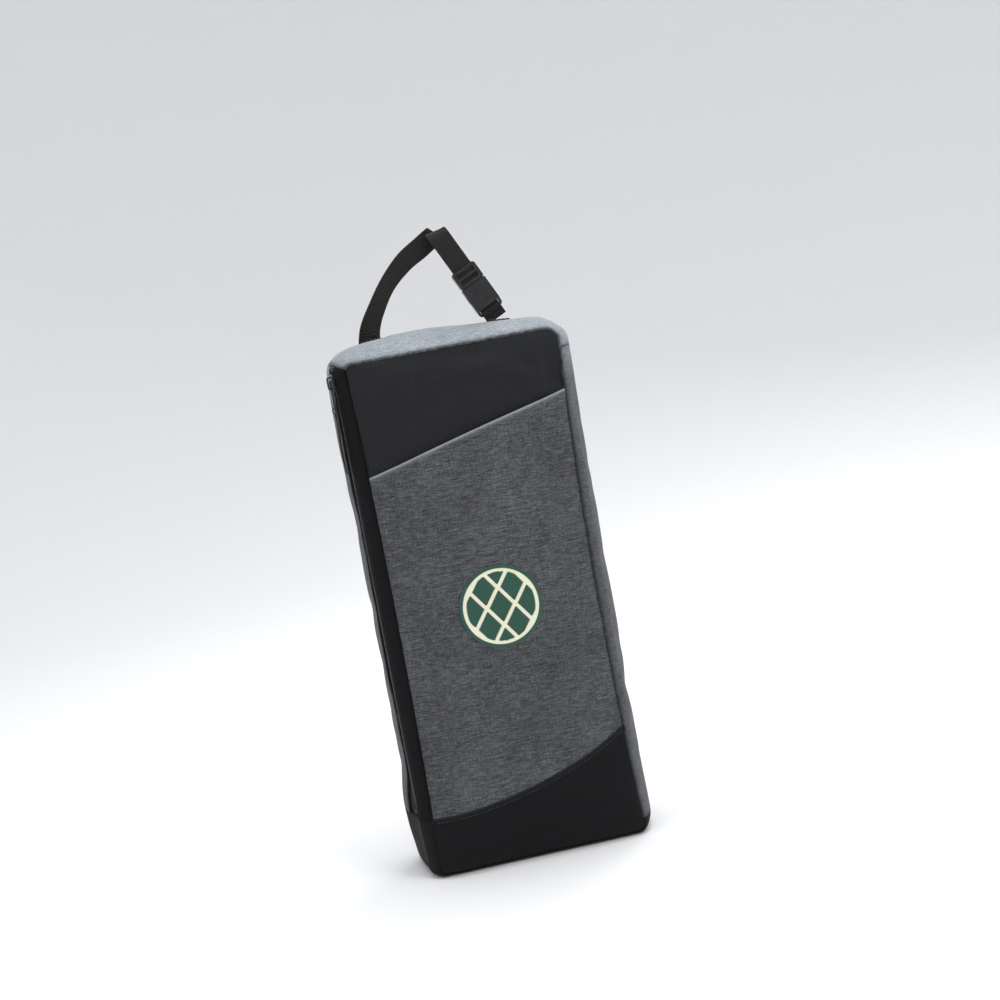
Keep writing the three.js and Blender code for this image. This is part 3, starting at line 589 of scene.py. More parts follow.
CREAM = satin_stitch("cream_patch", (0.84, 0.81, 0.57), (0.9, 0.88, 0.7), (0, 0, 0))
GREEN = satin_stitch("green_thread", (0.004, 0.05, 0.03), (0.012, 0.095, 0.06), (0, math.radians(35), 0))


# ------------------------------------------------------------------ padding, from Blender's cloth
SWELL_CAP = 1.8 * MM
SLACK = 0.012
PRESSURE = 2.5
CLOTH_FRAMES = 20


def swollen(grid, held, closed=False):
    """How far each point of a padded panel moves along its normal once it is filled.

    The cloth has some slack, and stays sewn where it is held."""
    rows, cols = grid.shape[:2]
    faces = []
    for r in range(rows if closed else rows - 1):
        for c in range(cols - 1):
            a, d = r * cols + c, (r + 1) % rows * cols + c
            faces.append((a, a + 1, d + 1, d))
    obj = add_mesh("cloth_form", grid.reshape(-1, 3), faces, bpy.data.materials[0])
    normals = np.array([v.normal for v in obj.data.vertices])
    if float((normals * (grid.reshape(-1, 3) - np.array(CENTRE))).sum()) < 0:
        obj.data.flip_normals()
        normals = -normals
    sewn = obj.vertex_groups.new(name="sewn")
    sewn.add([int(i) for i in np.flatnonzero(held.reshape(-1))], 1.0, "REPLACE")
    cloth = obj.modifiers.new("cloth", "CLOTH")
    settings = cloth.settings
    settings.quality = 8
    settings.mass = 0.15
    settings.tension_stiffness = settings.compression_stiffness = 12
    settings.shear_stiffness = 4
    settings.bending_stiffness = 0.4
    settings.shrink_min = -SLACK
    settings.vertex_group_mass = "sewn"
    settings.use_pressure = True
    settings.uniform_pressure_force = PRESSURE
    settings.effector_weights.gravity = 0
    cloth.collision_settings.use_collision = False
    cloth.point_cache.frame_end = CLOTH_FRAMES
    scene = bpy.context.scene
    for frame_number in range(1, CLOTH_FRAMES + 1):
        scene.frame_set(frame_number)
    filled = obj.evaluated_get(bpy.context.evaluated_depsgraph_get())
    moved = np.array([v.co for v in filled.data.vertices]) - grid.reshape(-1, 3)
    out = (moved * normals).sum(axis=1).reshape(rows, cols)
    scene.frame_set(1)
    bpy.data.objects.remove(obj)
    out = np.where(held, 0.0, soften(out, closed))
    return SWELL_CAP * np.tanh(out / SWELL_CAP)


def soften(values, closed, times=3):
    """Takes the saw-tooth of single cloth cells out of a field."""
    for _ in range(times):
        wide = np.pad(values, ((1, 1), (0, 0)), "wrap" if closed else "edge")
        values = (wide[:-2] + 2 * values + wide[2:]) / 4
        wide = np.pad(values, ((0, 0), (1, 1)), "edge")
        values = (wide[:, :-2] + 2 * values + wide[:, 2:]) / 4
    return values


def sample(values, row, col):
    """Bilinear reading of a grid of values at fractional places."""
    rows, cols = values.shape
    row, col = np.clip(row, 0, rows - 1.000001), np.clip(col, 0, cols - 1.000001)
    r, c = row.astype(int), col.astype(int)
    u, v = row - r, col - c
    low = values[r, c] * (1 - v) + values[r, c + 1] * v
    high = values[r + 1, c] * (1 - v) + values[r + 1, c + 1] * v
    return low * (1 - u) + high * u


def front_swell(x, z):
    across = (x - left_edge(z)) / (right_edge(z) - left_edge(z))
    up = (z - BOTTOM) / (TOP - BOTTOM)
    rows, cols = FRONT_SWELL.shape
    return sample(FRONT_SWELL, up * (rows - 1), across * (cols - 1))


def simulate_front():
    u, v = np.meshgrid(np.linspace(0, 1, 56), np.linspace(0, 1, 132))
    z = BOTTOM + (TOP - BOTTOM) * v
    x = left_edge(z) + (right_edge(z) - left_edge(z)) * u
    grid = np.stack([x, panel_face(x, z, POCKET_LIFT), z], axis=-1)
    held = (u <= 0) | (u >= 1) | (v <= 0) | (v >= 1)
    return swollen(grid, held)


# ------------------------------------------------------------------ the front
FRONT_SWELL = np.zeros((2, 2))  # filled in once the panel's own shape is known


def panel_face(x, z, lift=0.0):
    """y of the front panel's outer face, padded and crowned, with lift for a layer over it."""
    from_left, from_right = x - left_edge(z), right_edge(z) - x
    roll = ease(from_left, 20 * MM) * ease(from_right, 20 * MM)
    roll = roll * ease(TOP - z, 18 * MM) * ease(z - BOTTOM, 12 * MM)
    across = np.clip(from_left / np.maximum(from_left + from_right, MM), 0, 1)
    up = np.clip((z - BOTTOM) / (TOP - BOTTOM), 0, 1)
    belly = np.sin(math.pi * across) * np.sin(math.pi * up**0.9)
    swell = front_swell(x, z)
    seam = np.minimum(np.minimum(from_left, from_right), np.minimum(TOP - z, z - BOTTOM))
    groove = np.exp(-np.maximum(seam, 0) / (1.6 * MM))
    return -(DEPTH + (2.2 * MM + lift) * roll + 2.2 * MM * belly - 1.1 * MM * groove + swell)


def panel_wrinkles(x, z, seed):
    """Small uneven swellings, and puckers along the seams."""
    points = np.stack([x, np.zeros_like(x), z], axis=-1)
    slow = field(points, 62 * MM, seed) * 0.75 * MM + field(points, 24 * MM, seed + 1) * 0.22 * MM
    side = np.minimum(x - left_edge(z), right_edge(z) - x)
    ends = np.minimum(TOP - z, z - BOTTOM)
    wander = 2.4 * field(points, 30 * MM, seed + 2)
    side_pucker = np.sin(z / (2.3 * MM) + wander) * np.exp(-np.maximum(side, 0) / (7 * MM))
    end_pucker = np.sin(x / (2.5 * MM) + wander) * np.exp(-np.maximum(ends, 0) / (7 * MM))
    inside = ease(np.minimum(side, ends), 5 * MM, 1.5)
    slow = slow * ease(np.minimum(side, ends), 22 * MM, 1.5)
    return slow + 0.15 * MM * (side_pucker + end_pucker) * inside


def front_grid(z_low, z_high, cols, rows, lift, seed, extra=None):
    """A grid over the front between two edges, each a function of x."""
    u = np.linspace(0, 1, cols)
    u = u + 0.35 * (0.5 - 0.5 * np.cos(math.pi * u) - u)
    v = np.linspace(0, 1, rows)
    v = v + 0.5 * (0.5 - 0.5 * np.cos(math.pi * v) - v)
    u, v = np.meshgrid(u, v)
    x = SEAM_LEFT + (SEAM_RIGHT - SEAM_LEFT) * u
    for _ in range(6):
        low, high = z_low(x), z_high(x)
        z = low + (high - low) * v
        x = left_edge(z) + (right_edge(z) - left_edge(z)) * u
    y = panel_face(x, z, lift) - panel_wrinkles(x, z, seed)
    if extra is not None:
        y = y + extra(x, z)
    return np.stack([x, y, z], axis=-1)


def level(value):
    return lambda x: np.full_like(x, value)


# soft creases in the yoke: where each lies, its slope, half width and reach (m), and its depth in mm
YOKE_CREASES = [
    (0.047, 0.362, -0.5, 0.005, 0.022, 1.2),
    (0.034, 0.356, -0.35, 0.005, 0.026, -0.9),
    (0.018, 0.374, -0.1, 0.006, 0.03, 0.8),
    (-0.050, 0.345, 0.5, 0.007, 0.03, 1.0),
    (-0.034, 0.352, 0.4, 0.006, 0.026, -0.7),
    (-0.010, 0.340, 0.3, 0.008, 0.035, -0.8),
    (-0.068, 0.325, 0.9, 0.005, 0.018, 0.8),
]


def yoke_dimple(x, z):
    """The yoke is drawn in where the pocket's mouth meets the right seam."""
    beside, above = x - SEAM_RIGHT + 13 * MM, z - MOUTH_RIGHT - 9 * MM
    spot = np.exp(-((beside / (9 * MM)) ** 2) - (above / (9 * MM)) ** 2)
    fold = np.exp(-(((z - MOUTH_RIGHT - 4 * MM - 0.35 * (SEAM_RIGHT - x)) / (4 * MM)) ** 2))
    creases = 0.0
    for cx, cz, slope, width, reach, depth in YOKE_CREASES:
        across = (z - cz) - slope * (x - cx)
        along = (x - cx) + slope * (z - cz)
        creases = creases + depth * MM * np.exp(-((across / width) ** 2) - (along / reach) ** 2)
    return 2.2 * MM * spot + 0.8 * MM * fold * np.exp(-((SEAM_RIGHT - x) / (26 * MM)) ** 2) + creases


def pocket_gape(x, z):
    """The pocket stands off a little along its mouth, and its sides pinch at the mouth's ends."""
    below = mouth(x) - z
    across = np.clip((x - SEAM_LEFT) / (SEAM_RIGHT - SEAM_LEFT), 0, 1)
    return -1.1 * MM * np.exp(-np.maximum(below, 0) / (20 * MM)) * np.sin(math.pi * across) ** 0.8


def hem_fold(x, z):
    """The folded hem is thicker, down to its row of stitches, which pulls a groove."""
    below = mouth(x) - z
    stitched = 0.5 * MM * np.exp(-(((below - HEM_STITCH) / (1.1 * MM)) ** 2))
    tucked = smoothstep((x - left_edge(z)) / (7 * MM)) * smoothstep((right_edge(z) - x) / (7 * MM))
    folded = tucked * 0.7 * MM * smoothstep((9 * MM - below) / (1.6 * MM))
    return pocket_gape(x, z) - folded + stitched


def lower_fold(x, z):
    """The lower panel's edge is folded under and laps the pocket."""
    below = lower_edge(x) - z
    stitched = 0.3 * MM * np.exp(-(((below - LOWER_STITCH) / (0.9 * MM)) ** 2))
    return -0.7 * MM * smoothstep(1 - (below - 2 * MM) / (5 * MM)) - 0.2 * MM + stitched


UPPER_ENDS = ((0, 0, OPEN_TOP[0]), (0, 0, OPEN_TOP[1]))
LOWER_ENDS = ((0, 0, OPEN_BOTTOM[0]), (0, 0, OPEN_BOTTOM[1]))
FLAP = ("bag", "front_flap")


def front_piece(name, grid, material, node, ends, worn_and_highlit=(), shaded_sides=(), cut=()):
    obj = cloth_piece(name, grid, CLOTH, material, worn_and_highlit=worn_and_highlit, shaded_sides=shaded_sides, cut=cut)
    place(obj, FLAP, node, ends)


def under_lower_edge(x):
    """Where the pocket's cloth ends, behind the lower panel."""
    return lower_edge(x) - 5 * MM


def layers(foam_depth, lining_depth):
    """The two inner layers: name, thickness, how deep each lies, material and fill."""
    foam = ("foam", FOAM_THICK, foam_depth, FOAM, FOAM_FILL)
    return foam, ("lining", LINING_THICK, lining_depth, LINING, LINING_FILL)


def crinkle(name, grid):
    return 0.5 * MM * field(grid, 30 * MM, CRINKLE_SEED) if name == "lining" else 0


def narrowed(grid, width):
    grid[..., 0] = CENTRE.x + (grid[..., 0] - CENTRE.x) * width
    return grid


def make_front():
    dark, grey_cloth, side = "black_fabric", "graphite_heather", ["left", "right"]
    split, low, high = level(SPLIT), level(BOTTOM), level(TOP)
    grid = front_grid(split, high, 84, 100, 0, FRONT_SEED, yoke_dimple)
    nodes = ["front_panel"]
    front_piece("front_yoke", grid, RIBBED, nodes, UPPER_ENDS, (), side + ["high"], ["low"])
    grid = front_grid(low, split, 70, 80, 0, FRONT_SEED)
    shaded_sides = side + ["low"]
    front_piece("front_panel_lower", grid, RIBBED, nodes, LOWER_ENDS, (), shaded_sides, ["high"])
    grid = front_grid(split, mouth, 110, 100, POCKET_LIFT, POCKET_SEED, hem_fold)
    nodes = ["pocket_panel", "pocket_hem"]
    # the hem's folded mouth gets wear and a painted highlight
    front_piece("pocket_upper", grid, GRAPHITE, nodes, UPPER_ENDS, ["high"], side, ["low"])
    grid = front_grid(under_lower_edge, split, 110, 90, POCKET_LIFT, POCKET_SEED, pocket_gape)
    front_piece("pocket_lower", grid, GRAPHITE, nodes[:1], LOWER_ENDS, (), side, ["high"])
    grid = front_grid(low, lower_edge, 100, 50, LOWER_LIFT, POCKET_SEED, lower_fold)
    nodes = ["front_lower_panel"]
    # the lower panel's folded top edge gets wear and a painted highlight
    front_piece("front_lower_cloth", grid, BLACK, nodes, LOWER_ENDS, ["high"], side + ["low"])

    upper = ("upper", SPLIT, TOP - 8 * MM, UPPER_ENDS, "low")
    lower = ("lower", 12 * MM, SPLIT, LOWER_ENDS, "high")
    for part, low_z, high_z, ends, cut in (upper, lower):
        for name, thick, depth, material, fill in layers(2.2 * MM, 6.4 * MM):
            grid = narrowed(front_grid(level(low_z), level(high_z), 50, 50, 0, FRONT_SEED), 0.9)
            grid[..., 1] += depth + crinkle(name, grid)
            obj = cloth_piece(f"front_{name}_{part}", grid, thick, material, cut=[cut])
            place(obj, FLAP, [f"front_{name}"], ends)


def make_back():
    grid = front_grid(level(BOTTOM), level(TOP), 80, 140, 0, BACK_SEED)
    grid[..., 1] = -grid[..., 1]
    place(cloth_piece("back_cloth", grid, CLOTH, RIBBED), "bag", ["back_panel"])
    for name, thick, depth, material, fill in layers(2.4 * MM, 6.6 * MM):
        grid = narrowed(front_grid(level(12 * MM), level(TOP - 10 * MM), 50, 80, 0, BACK_SEED), 0.94)
        grid[..., 1] = -grid[..., 1] - depth - crinkle(name, grid)
        obj = cloth_piece(f"back_{name}_layer", grid, thick, material)
        place(obj, "bag", [f"back_{name}"])


# ------------------------------------------------------------------ the gussets
def rim_loop():
    """The seam line once round, from the bottom left corner up: points and outward directions."""
    ends = CORNER["right_high"] * (1 - np.cos(np.linspace(0, math.pi / 2, 14)))
    z = np.concatenate([BOTTOM + ends, np.linspace(BOTTOM + 15 * MM, TOP - 15 * MM, 160), TOP - ends[::-1]])
    left = np.stack([left_edge(z), z], axis=-1)
    right = np.stack([right_edge(z), z], axis=-1)[::-1]
    loop = np.concatenate([left, right, left[:1]])
    lengths = np.linalg.norm(np.diff(loop, axis=0), axis=1)
    loop = loop[np.concatenate([[True], lengths > 1e-7])]
    travel = np.concatenate([[0], np.cumsum(np.linalg.norm(np.diff(loop, axis=0), axis=1))])
    at = np.linspace(0, travel[-1], int(travel[-1] / RIM_STEP))
    even = np.stack([np.interp(at, travel, loop[:, k]) for k in (0, 1)], axis=-1)[:-1]
    tangent = np.roll(even, -3, axis=0) - np.roll(even, 3, axis=0)
    normal = unit(np.stack([-tangent[:, 1], tangent[:, 0]], axis=-1))
    for _ in range(8):
        normal = unit(np.roll(normal, 1, axis=0) + 2 * normal + np.roll(normal, -1, axis=0))
    return even, normal


RIM, RIM_OUT = rim_loop()
GUSSET_STEP = 2  # the simulated ring takes every second place on the rim
GUSSET_SWELL = None


def rim_index(x, z):
    return int(np.argmin((RIM[:, 0] - x) ** 2 + (RIM[:, 1] - z) ** 2))


def gusset_grid(start, end, depths, inset=0.0):
    """The side shell from one place on the rim to another, going clockwise, over shares of the depth."""
    first, last = rim_index(*start), rim_index(*end)
    span = (last - first) % len(RIM)
    ids = [(first + k) % len(RIM) for k in range(span + 1)]
    rim, out = RIM[ids][:, None, :], RIM_OUT[ids][:, None, :]
    t = np.asarray(depths)[None, :] + np.zeros((len(ids), 1))
    west, east = np.clip(-out[..., 0], 0, 1) ** 2, np.clip(out[..., 0], 0, 1) ** 2
    up, down = np.clip(out[..., 1], 0, 1) ** 2, np.clip(-out[..., 1], 0, 1) ** 2
    round_out = np.sin(math.pi * t)
    side_left = catmull(LEFT_PROFILE, t) * MM
    side_right = RIGHT_BULGE * round_out**0.8
    side_top = TOP_BULGE * round_out**0.75 * catmull(DOME_ALONG, rim[..., 0] / MM)
    side_base = BASE_BULGE * ease(np.minimum(t, 1 - t), 0.08)
    # the bulge dies down a little round the top corners
    slack = 1 - 0.15 * (2 * out[..., 0] * np.clip(out[..., 1], 0, 1)) ** 2
    low_swell = 3.2 * MM * np.exp(-(((rim[..., 1] - 50 * MM) / (26 * MM)) ** 2))
    low_swell = low_swell * np.sin(math.pi * t) ** 2
    bulge = slack * (west * (side_left + low_swell) + east * side_right + up * side_top) + down * side_base
    fading = np.clip(1 - t / 0.11, 0, 1) ** 2, np.clip(1 - (1 - t) / 0.2, 0, 1) ** 2
    drawn = waist(rim[..., 1]) * (1 - fading[0] - fading[1])
    bulge = bulge + drawn * (west * PULL_IN_LEFT + east * (PULL_IN_RIGHT - RIGHT_WAIST))
    y = -DEPTH + 2 * DEPTH * t
    probe = np.stack([rim[..., 0] + 0 * t, y, rim[..., 1] + 0 * t], axis=-1)
    edge = np.minimum(t, 1 - t) * 2 * DEPTH
    soft = (1 - down) * (1 - 0.5 * up)
    waves = field(probe, 55 * MM, GUSSET_SEED) * 0.7 * MM
    waves = waves + field(probe, 20 * MM, GUSSET_SEED + 1) * 0.2 * MM
    along = np.array(ids)[:, None] * RIM_STEP
    wander = 2.2 * field(probe, 30 * MM, GUSSET_SEED + 2)
    pucker = 0.16 * MM * np.sin(along / (2.4 * MM) + wander) * np.exp(-edge / (7 * MM))
    uneven = waves * ease(edge, 22 * MM, 1.5) + pucker * ease(edge, 5 * MM, 1.5)
    bulge = bulge + soft * uneven - inset
    bulge = bulge - 0.8 * MM * soft * np.exp(-edge / (1.4 * MM))
    if GUSSET_SWELL is not None:
        around = np.array(ids)[:, None] / GUSSET_STEP + 0 * t
        depth = t * (GUSSET_SWELL.shape[1] - 1)
        bulge = bulge + (1 - down) * sample(GUSSET_SWELL, around, depth)
    x = rim[..., 0] + out[..., 0] * bulge
    z = rim[..., 1] + out[..., 1] * bulge
    return np.stack([x, y, np.maximum(z, 0.1 * MM + inset)], axis=-1)


def share(y):
    return (y + DEPTH) / (2 * DEPTH)


def simulate_gussets():
    """The side shell as one ring of cloth, held at its seams, the zipper, the strap's feet and the base."""
    depths = np.linspace(0, 1, 25)
    grid = gusset_grid(RIM[0], RIM[-1], depths)[::GUSSET_STEP]
    x, y, z = grid[..., 0], grid[..., 1], grid[..., 2]
    held = np.zeros(x.shape, bool)
    held[:, 0] = held[:, -1] = True
    upright = np.abs(RIM_OUT[::GUSSET_STEP, :1]) > 0.7
    held |= (x < CENTRE.x) & (z < TOP) & (y < TAPE_REAR_END) & upright
    held |= z < 8 * MM
    for foot in (FOOT_LEFT, FOOT_RIGHT):
        held |= (np.abs(x - foot) < 10 * MM) & (np.abs(y - PIVOT.y) < 11 * MM) & (z > TOP)
    found = swollen(grid, held, closed=True)
    # the swell is faded out where the buckle lands when the strap falls forward
    along = smoothstep((x - FOOT_RIGHT + 54 * MM) / (26 * MM))
    ahead = smoothstep((PIVOT.y + 16 * MM - y) / (18 * MM))
    found = found * (1 - along * ahead * smoothstep((z - TOP + 6 * MM) / (6 * MM)))
    return np.concatenate([found, found[:2]])


SIDE_TOP = TOP - 2.6 * MM
TOP_START = (left_edge(np.array(SIDE_TOP)).item(), SIDE_TOP)
TOP_END = (right_edge(np.array(TOP - 16 * MM)).item(), TOP - 16 * MM)
BASE_END = (SEAM_RIGHT, BOTTOM + 9 * MM)
BASE_START = (SEAM_LEFT + 16 * MM, BOTTOM)


def make_gussets():
    whole = np.linspace(0, 1, 44)
    behind = np.linspace(share(TAPE_REAR_END) - 0.01, 1, 34)
    wrap_end = (SEAM_LEFT, WRAP_TOP)
    for name, start, end, depths, material, node, slot, fill in (
        ("top_gusset_cloth", TOP_START, TOP_END, whole, SLATE, "top_gusset", "slate_heather", 0.6),
        ("right_gusset_cloth", TOP_END, BASE_END, whole, GUSSET, "right_gusset", "graphite_heather", 0.6),
        ("base_cloth", BASE_END, BASE_START, whole, BLACK, "base_panel", "black_fabric", 0.2),
        ("base_wrap_cloth", BASE_START, wrap_end, whole, BLACK, "base_wrap", "black_fabric", 0.4),
        ("left_gusset_cloth", wrap_end, TOP_START, behind, GUSSET, "left_gusset", "graphite_heather", 0.6),
    ):
        obj = cloth_piece(name, gusset_grid(start, end, depths), CLOTH, material)
        place(obj, "bag", [node])
    inner = np.linspace(0.1, 0.92, 30)
    left_inner = np.linspace(share(TEETH_REAR[1].y) + 0.06, 0.92, 24)
    for layer, thick, inset, material, fill in layers(2.2 * MM, 6.5 * MM):
        for side, start, end, depths in (
            ("left", (SEAM_LEFT, BOTTOM + 11 * MM), (SEAM_LEFT, TOP - 10 * MM), left_inner),
            ("top", (SEAM_LEFT + 10 * MM, TOP), (SEAM_RIGHT - 14 * MM, TOP), inner),
            ("right", (SEAM_RIGHT, TOP - 16 * MM), (SEAM_RIGHT, BOTTOM + 16 * MM), inner),
            ("base", (SEAM_RIGHT - 10 * MM, BOTTOM), (SEAM_LEFT + 8 * MM, BOTTOM), inner),
        ):
            grid = gusset_grid(start, end, depths, inset)
            obj = cloth_piece(f"{side}_{layer}_layer", grid, thick, material)
            place(obj, "bag", [f"{side}_{layer}"])


# ------------------------------------------------------------------ stitches
# a thread's outline: share along it, share of its radius
CAPSULE = [(-0.5, 0.2), (-0.44, 0.75), (-0.3, 1), (0.3, 1), (0.44, 0.75), (0.5, 0.2)]


def strands(name, starts, ends, outs, radius, material, sides=6, sink=0.3):
    """Short rounded threads, each from its start to its end, lying on a surface that faces out."""
    starts, ends = np.asarray(starts, float), np.asarray(ends, float)
    outs = unit(np.broadcast_to(np.asarray(outs, float), starts.shape))
    run = unit(ends - starts)
    side = unit(np.cross(outs, run))
    up = np.cross(run, side)
    count, rings = len(starts), len(CAPSULE)
    points = np.zeros((count, rings, sides, 3))
    for i, (along, size) in enumerate(CAPSULE):
        centre = (starts + ends) / 2 + (ends - starts) * along + up * radius * (size - 1 - sink + 0.5)
        for j in range(sides):
            angle = 2 * math.pi * (j + 0.5) / sides
            points[:, i, j] = centre + (side * math.cos(angle) + up * math.sin(angle)) * radius * size
    one = []
    for i in range(rings - 1):
        for j in range(sides):
            a, b = i * sides + j, i * sides + (j + 1) % sides
            one.append((a, b, b + sides, a + sides))
    one.append(tuple(range(sides))[::-1])
    one.append(tuple((rings - 1) * sides + j for j in range(sides)))
    faces = [tuple(k * rings * sides + i for i in face) for k in range(count) for face in one]
    obj = add_mesh(name, points.reshape(-1, 3), faces, material)
    outward(obj)
    return obj


def stitches(name, line, faces_out, material, length=2.0 * MM, gap=0.9 * MM, radius=0.26 * MM):
    """A row of stitches laid along a line of points."""
    line = np.asarray(line, float)
    faces_out = np.broadcast_to(np.asarray(faces_out, float), line.shape)
    travel = np.concatenate([[0], np.cumsum(np.linalg.norm(np.diff(line, axis=0), axis=1))])
    count = max(int(travel[-1] / (length + gap)), 1)
    middles = (np.arange(count) + 0.5) * travel[-1] / count

    def at(places, values):
        return np.stack([np.interp(places, travel, values[:, k]) for k in range(3)], axis=-1)

    starts, ends = at(middles - length / 2, line), at(middles + length / 2, line)
    return strands(name, starts, ends, at(middles, faces_out), radius, material)


def on_pocket(x, z, lift=0.0, extra=hem_fold):
    x, z = np.asarray(x, float), np.asarray(z, float)
    y = panel_face(x, z, POCKET_LIFT) - panel_wrinkles(x, z, POCKET_SEED) + extra(x, z) - lift
    return np.stack([x, y, z], axis=-1)


def make_front_stitching():
    first = left_edge(np.array(0.29)).item() + 3 * MM  # at the height of the mouth's two ends
    last = right_edge(np.array(0.33)).item() - 3 * MM
    x = np.linspace(first, last, 120)
    forward = (0, -1, 0)
    hem = stitches("hem_stitching", on_pocket(x, mouth(x) - HEM_STITCH), forward, THREAD_GREY)
    place(hem, FLAP, ends=UPPER_ENDS)
    edge_z = lower_edge(x) - LOWER_STITCH
    y = panel_face(x, edge_z, LOWER_LIFT) - panel_wrinkles(x, edge_z, POCKET_SEED) + lower_fold(x, edge_z)
    seam = stitches("lower_panel_stitching", np.stack([x, y, edge_z], axis=-1), forward, THREAD_BLACK)
    place(seam, FLAP, ends=LOWER_ENDS)


# ------------------------------------------------------------------ the zipper
COIL_FACE = TEETH_FRONT[0].x
COIL_PITCH = 1.5 * MM
COIL_Y = (TEETH_FRONT[0].y + TEETH_REAR[1].y) / 2
COIL_HALF = (TEETH_REAR[1].y - TEETH_FRONT[0].y) / 2
ZIP_LOW = TEETH_REAR[0].z
TAPE_THICK = 0.9 * MM


def coil_row(name, towards, z_low, z_high, shift):
    """One side of the coil: a loop of nylon at each pitch, reaching past the middle."""
    first, last = math.ceil((z_low - shift) / COIL_PITCH), (z_high - shift) / COIL_PITCH
    z = np.arange(first, last) * COIL_PITCH + shift
    x = np.full_like(z, COIL_FACE + 0.45 * MM)
    outer = np.stack([x, np.full_like(z, COIL_Y + towards * COIL_HALF), z], axis=-1)
    inner = np.stack([x, np.full_like(z, COIL_Y - towards * 0.5 * MM), z + 0.12 * MM * towards], axis=-1)
    return strands(name, outer, inner, (-1, 0, 0), 0.42 * MM, COIL, 8, 0.5)


def make_zipper():
    low, high = (SEAM_LEFT, WRAP_TOP - 3 * MM), TOP_START
    front = np.linspace(0, share(TEETH_FRONT[0].y + 1.2 * MM), 12)
    rear = np.linspace(share(TEETH_REAR[1].y - 1.2 * MM), share(TAPE_REAR_END + 4 * MM), 16)
    under = 1.7 * MM * smoothstep((rear - share(TEETH_REAR[1].y)) / 0.14)[None, :]
    middle = (left_edge(np.array(SPLIT)).item(), SPLIT)
    pieces = (("upper", middle, high, UPPER_ENDS, "low"), ("lower", low, middle, LOWER_ENDS, "high"))
    for part, start, end, ends, cut in pieces:
        grid = gusset_grid(start, end, front, 0.25 * MM)
        obj = cloth_piece(f"zip_tape_front_{part}", grid, TAPE_THICK, TAPE, shaded_sides=["left"], cut=[cut])
        place(obj, FLAP, ["zip_tape_front"], ends=ends)
    grid = gusset_grid(low, high, rear, under)
    obj = cloth_piece("zip_tape_rear_cloth", grid, TAPE_THICK, TAPE, shaded_sides=["right"])
    place(obj, "bag", ["zip_tape_rear"])

    top = SLIDER_TOP - 1.5 * MM
    row = coil_row("coil_front_upper", -1, SPLIT, top, 0)
    place(row, FLAP, ["zip_teeth_front"], ends=UPPER_ENDS)
    row = coil_row("coil_front_lower", -1, ZIP_LOW, SPLIT, 0)
    place(row, FLAP, ["zip_teeth_front"], ends=LOWER_ENDS)
    row = coil_row("coil_rear", 1, ZIP_LOW, top, COIL_PITCH / 2)
    place(row, "bag", ["zip_teeth_rear"])


def make_zip_stitching():
    depths = np.array([share(TAPE_REAR_END + 1.6 * MM), share(TAPE_REAR_END + 2.6 * MM)])
    column = gusset_grid((SEAM_LEFT, WRAP_TOP), TOP_START, depths)
    row = stitches("zip_seam_stitching", column[:, 0], (-1, 0, 0), THREAD_GREY)
    place(row, "bag")


def make_ribbon():
    """Flat ribbon looped through the pull's eye, hanging down with a heat-cut end."""
    y, half = (RIBBON_LOW.y + RIBBON_HIGH.y) / 2, (RIBBON_HIGH.y - RIBBON_LOW.y) / 2
    x = (PULL_LOW.x + PULL_HIGH.x) / 2
    thick = 0.55 * MM
    ring_z, ring_r = RIBBON_HIGH.z - 2.3 * MM, 2.0 * MM
    length = ring_z - RIBBON_LOW.z
    path = []
    for k in range(70):
        s = k / 69
        sway = 0.5 * MM * math.sin(2.4 * s) - 0.2 * MM * math.sin(7 * s)
        drop = ring_z - 1.9 * MM - (length - 1.9 * MM) * s
        width = half - 0.3 * MM * (s > 0.985)  # melted back at the cut end
        path.append((x - 0.35 * MM * (1 - s) - sway, drop, 0.10 * math.sin(3 * s), width))
    rings = []
    for px, pz, twist, width in path:
        ring = []
        for u, v in rounded_rectangle(-width, -thick, width, thick, thick * 0.9, 3):
            rib = 1 + 0.14 * math.sin(2 * math.pi * pz / (1.1 * MM))
            out_x = px + v * rib * math.cos(twist) + u * math.sin(twist)
            ring.append((out_x, y + u * math.cos(twist) - v * math.sin(twist), pz))
        rings.append(ring)
    place(tube_grid("ribbon_tail", rings, WEBBING), "ribbon", ["zip_ribbon"])
    rings = []
    narrow = 2.35 * MM
    for k in range(41):
        angle = math.radians(-90 + 360 * k / 40)
        ring = []
        for u, v in rounded_rectangle(-narrow, -0.28 * MM, narrow, 0.28 * MM, 0.25 * MM, 3):
            radius = ring_r + v
            ring.append((x + radius * math.cos(angle), y + u, ring_z + radius * math.sin(angle)))
        rings.append(ring)
    place(tube_grid("ribbon_loop", rings, WEBBING), "ribbon", ["zip_ribbon"])
    tack_z = ring_z - 5 * MM + np.linspace(-0.9, 0.9, 5) * MM
    starts = np.stack([np.full(5, x - 0.9 * MM), np.full(5, y - half * 0.7), tack_z], axis=-1)
    ends = starts + np.array([0, half * 1.4, 0.25 * MM])
    tack = strands("ribbon_tack", starts, ends, (-1, 0, 0), 0.22 * MM, THREAD_BLACK)
    place(tack, "ribbon")


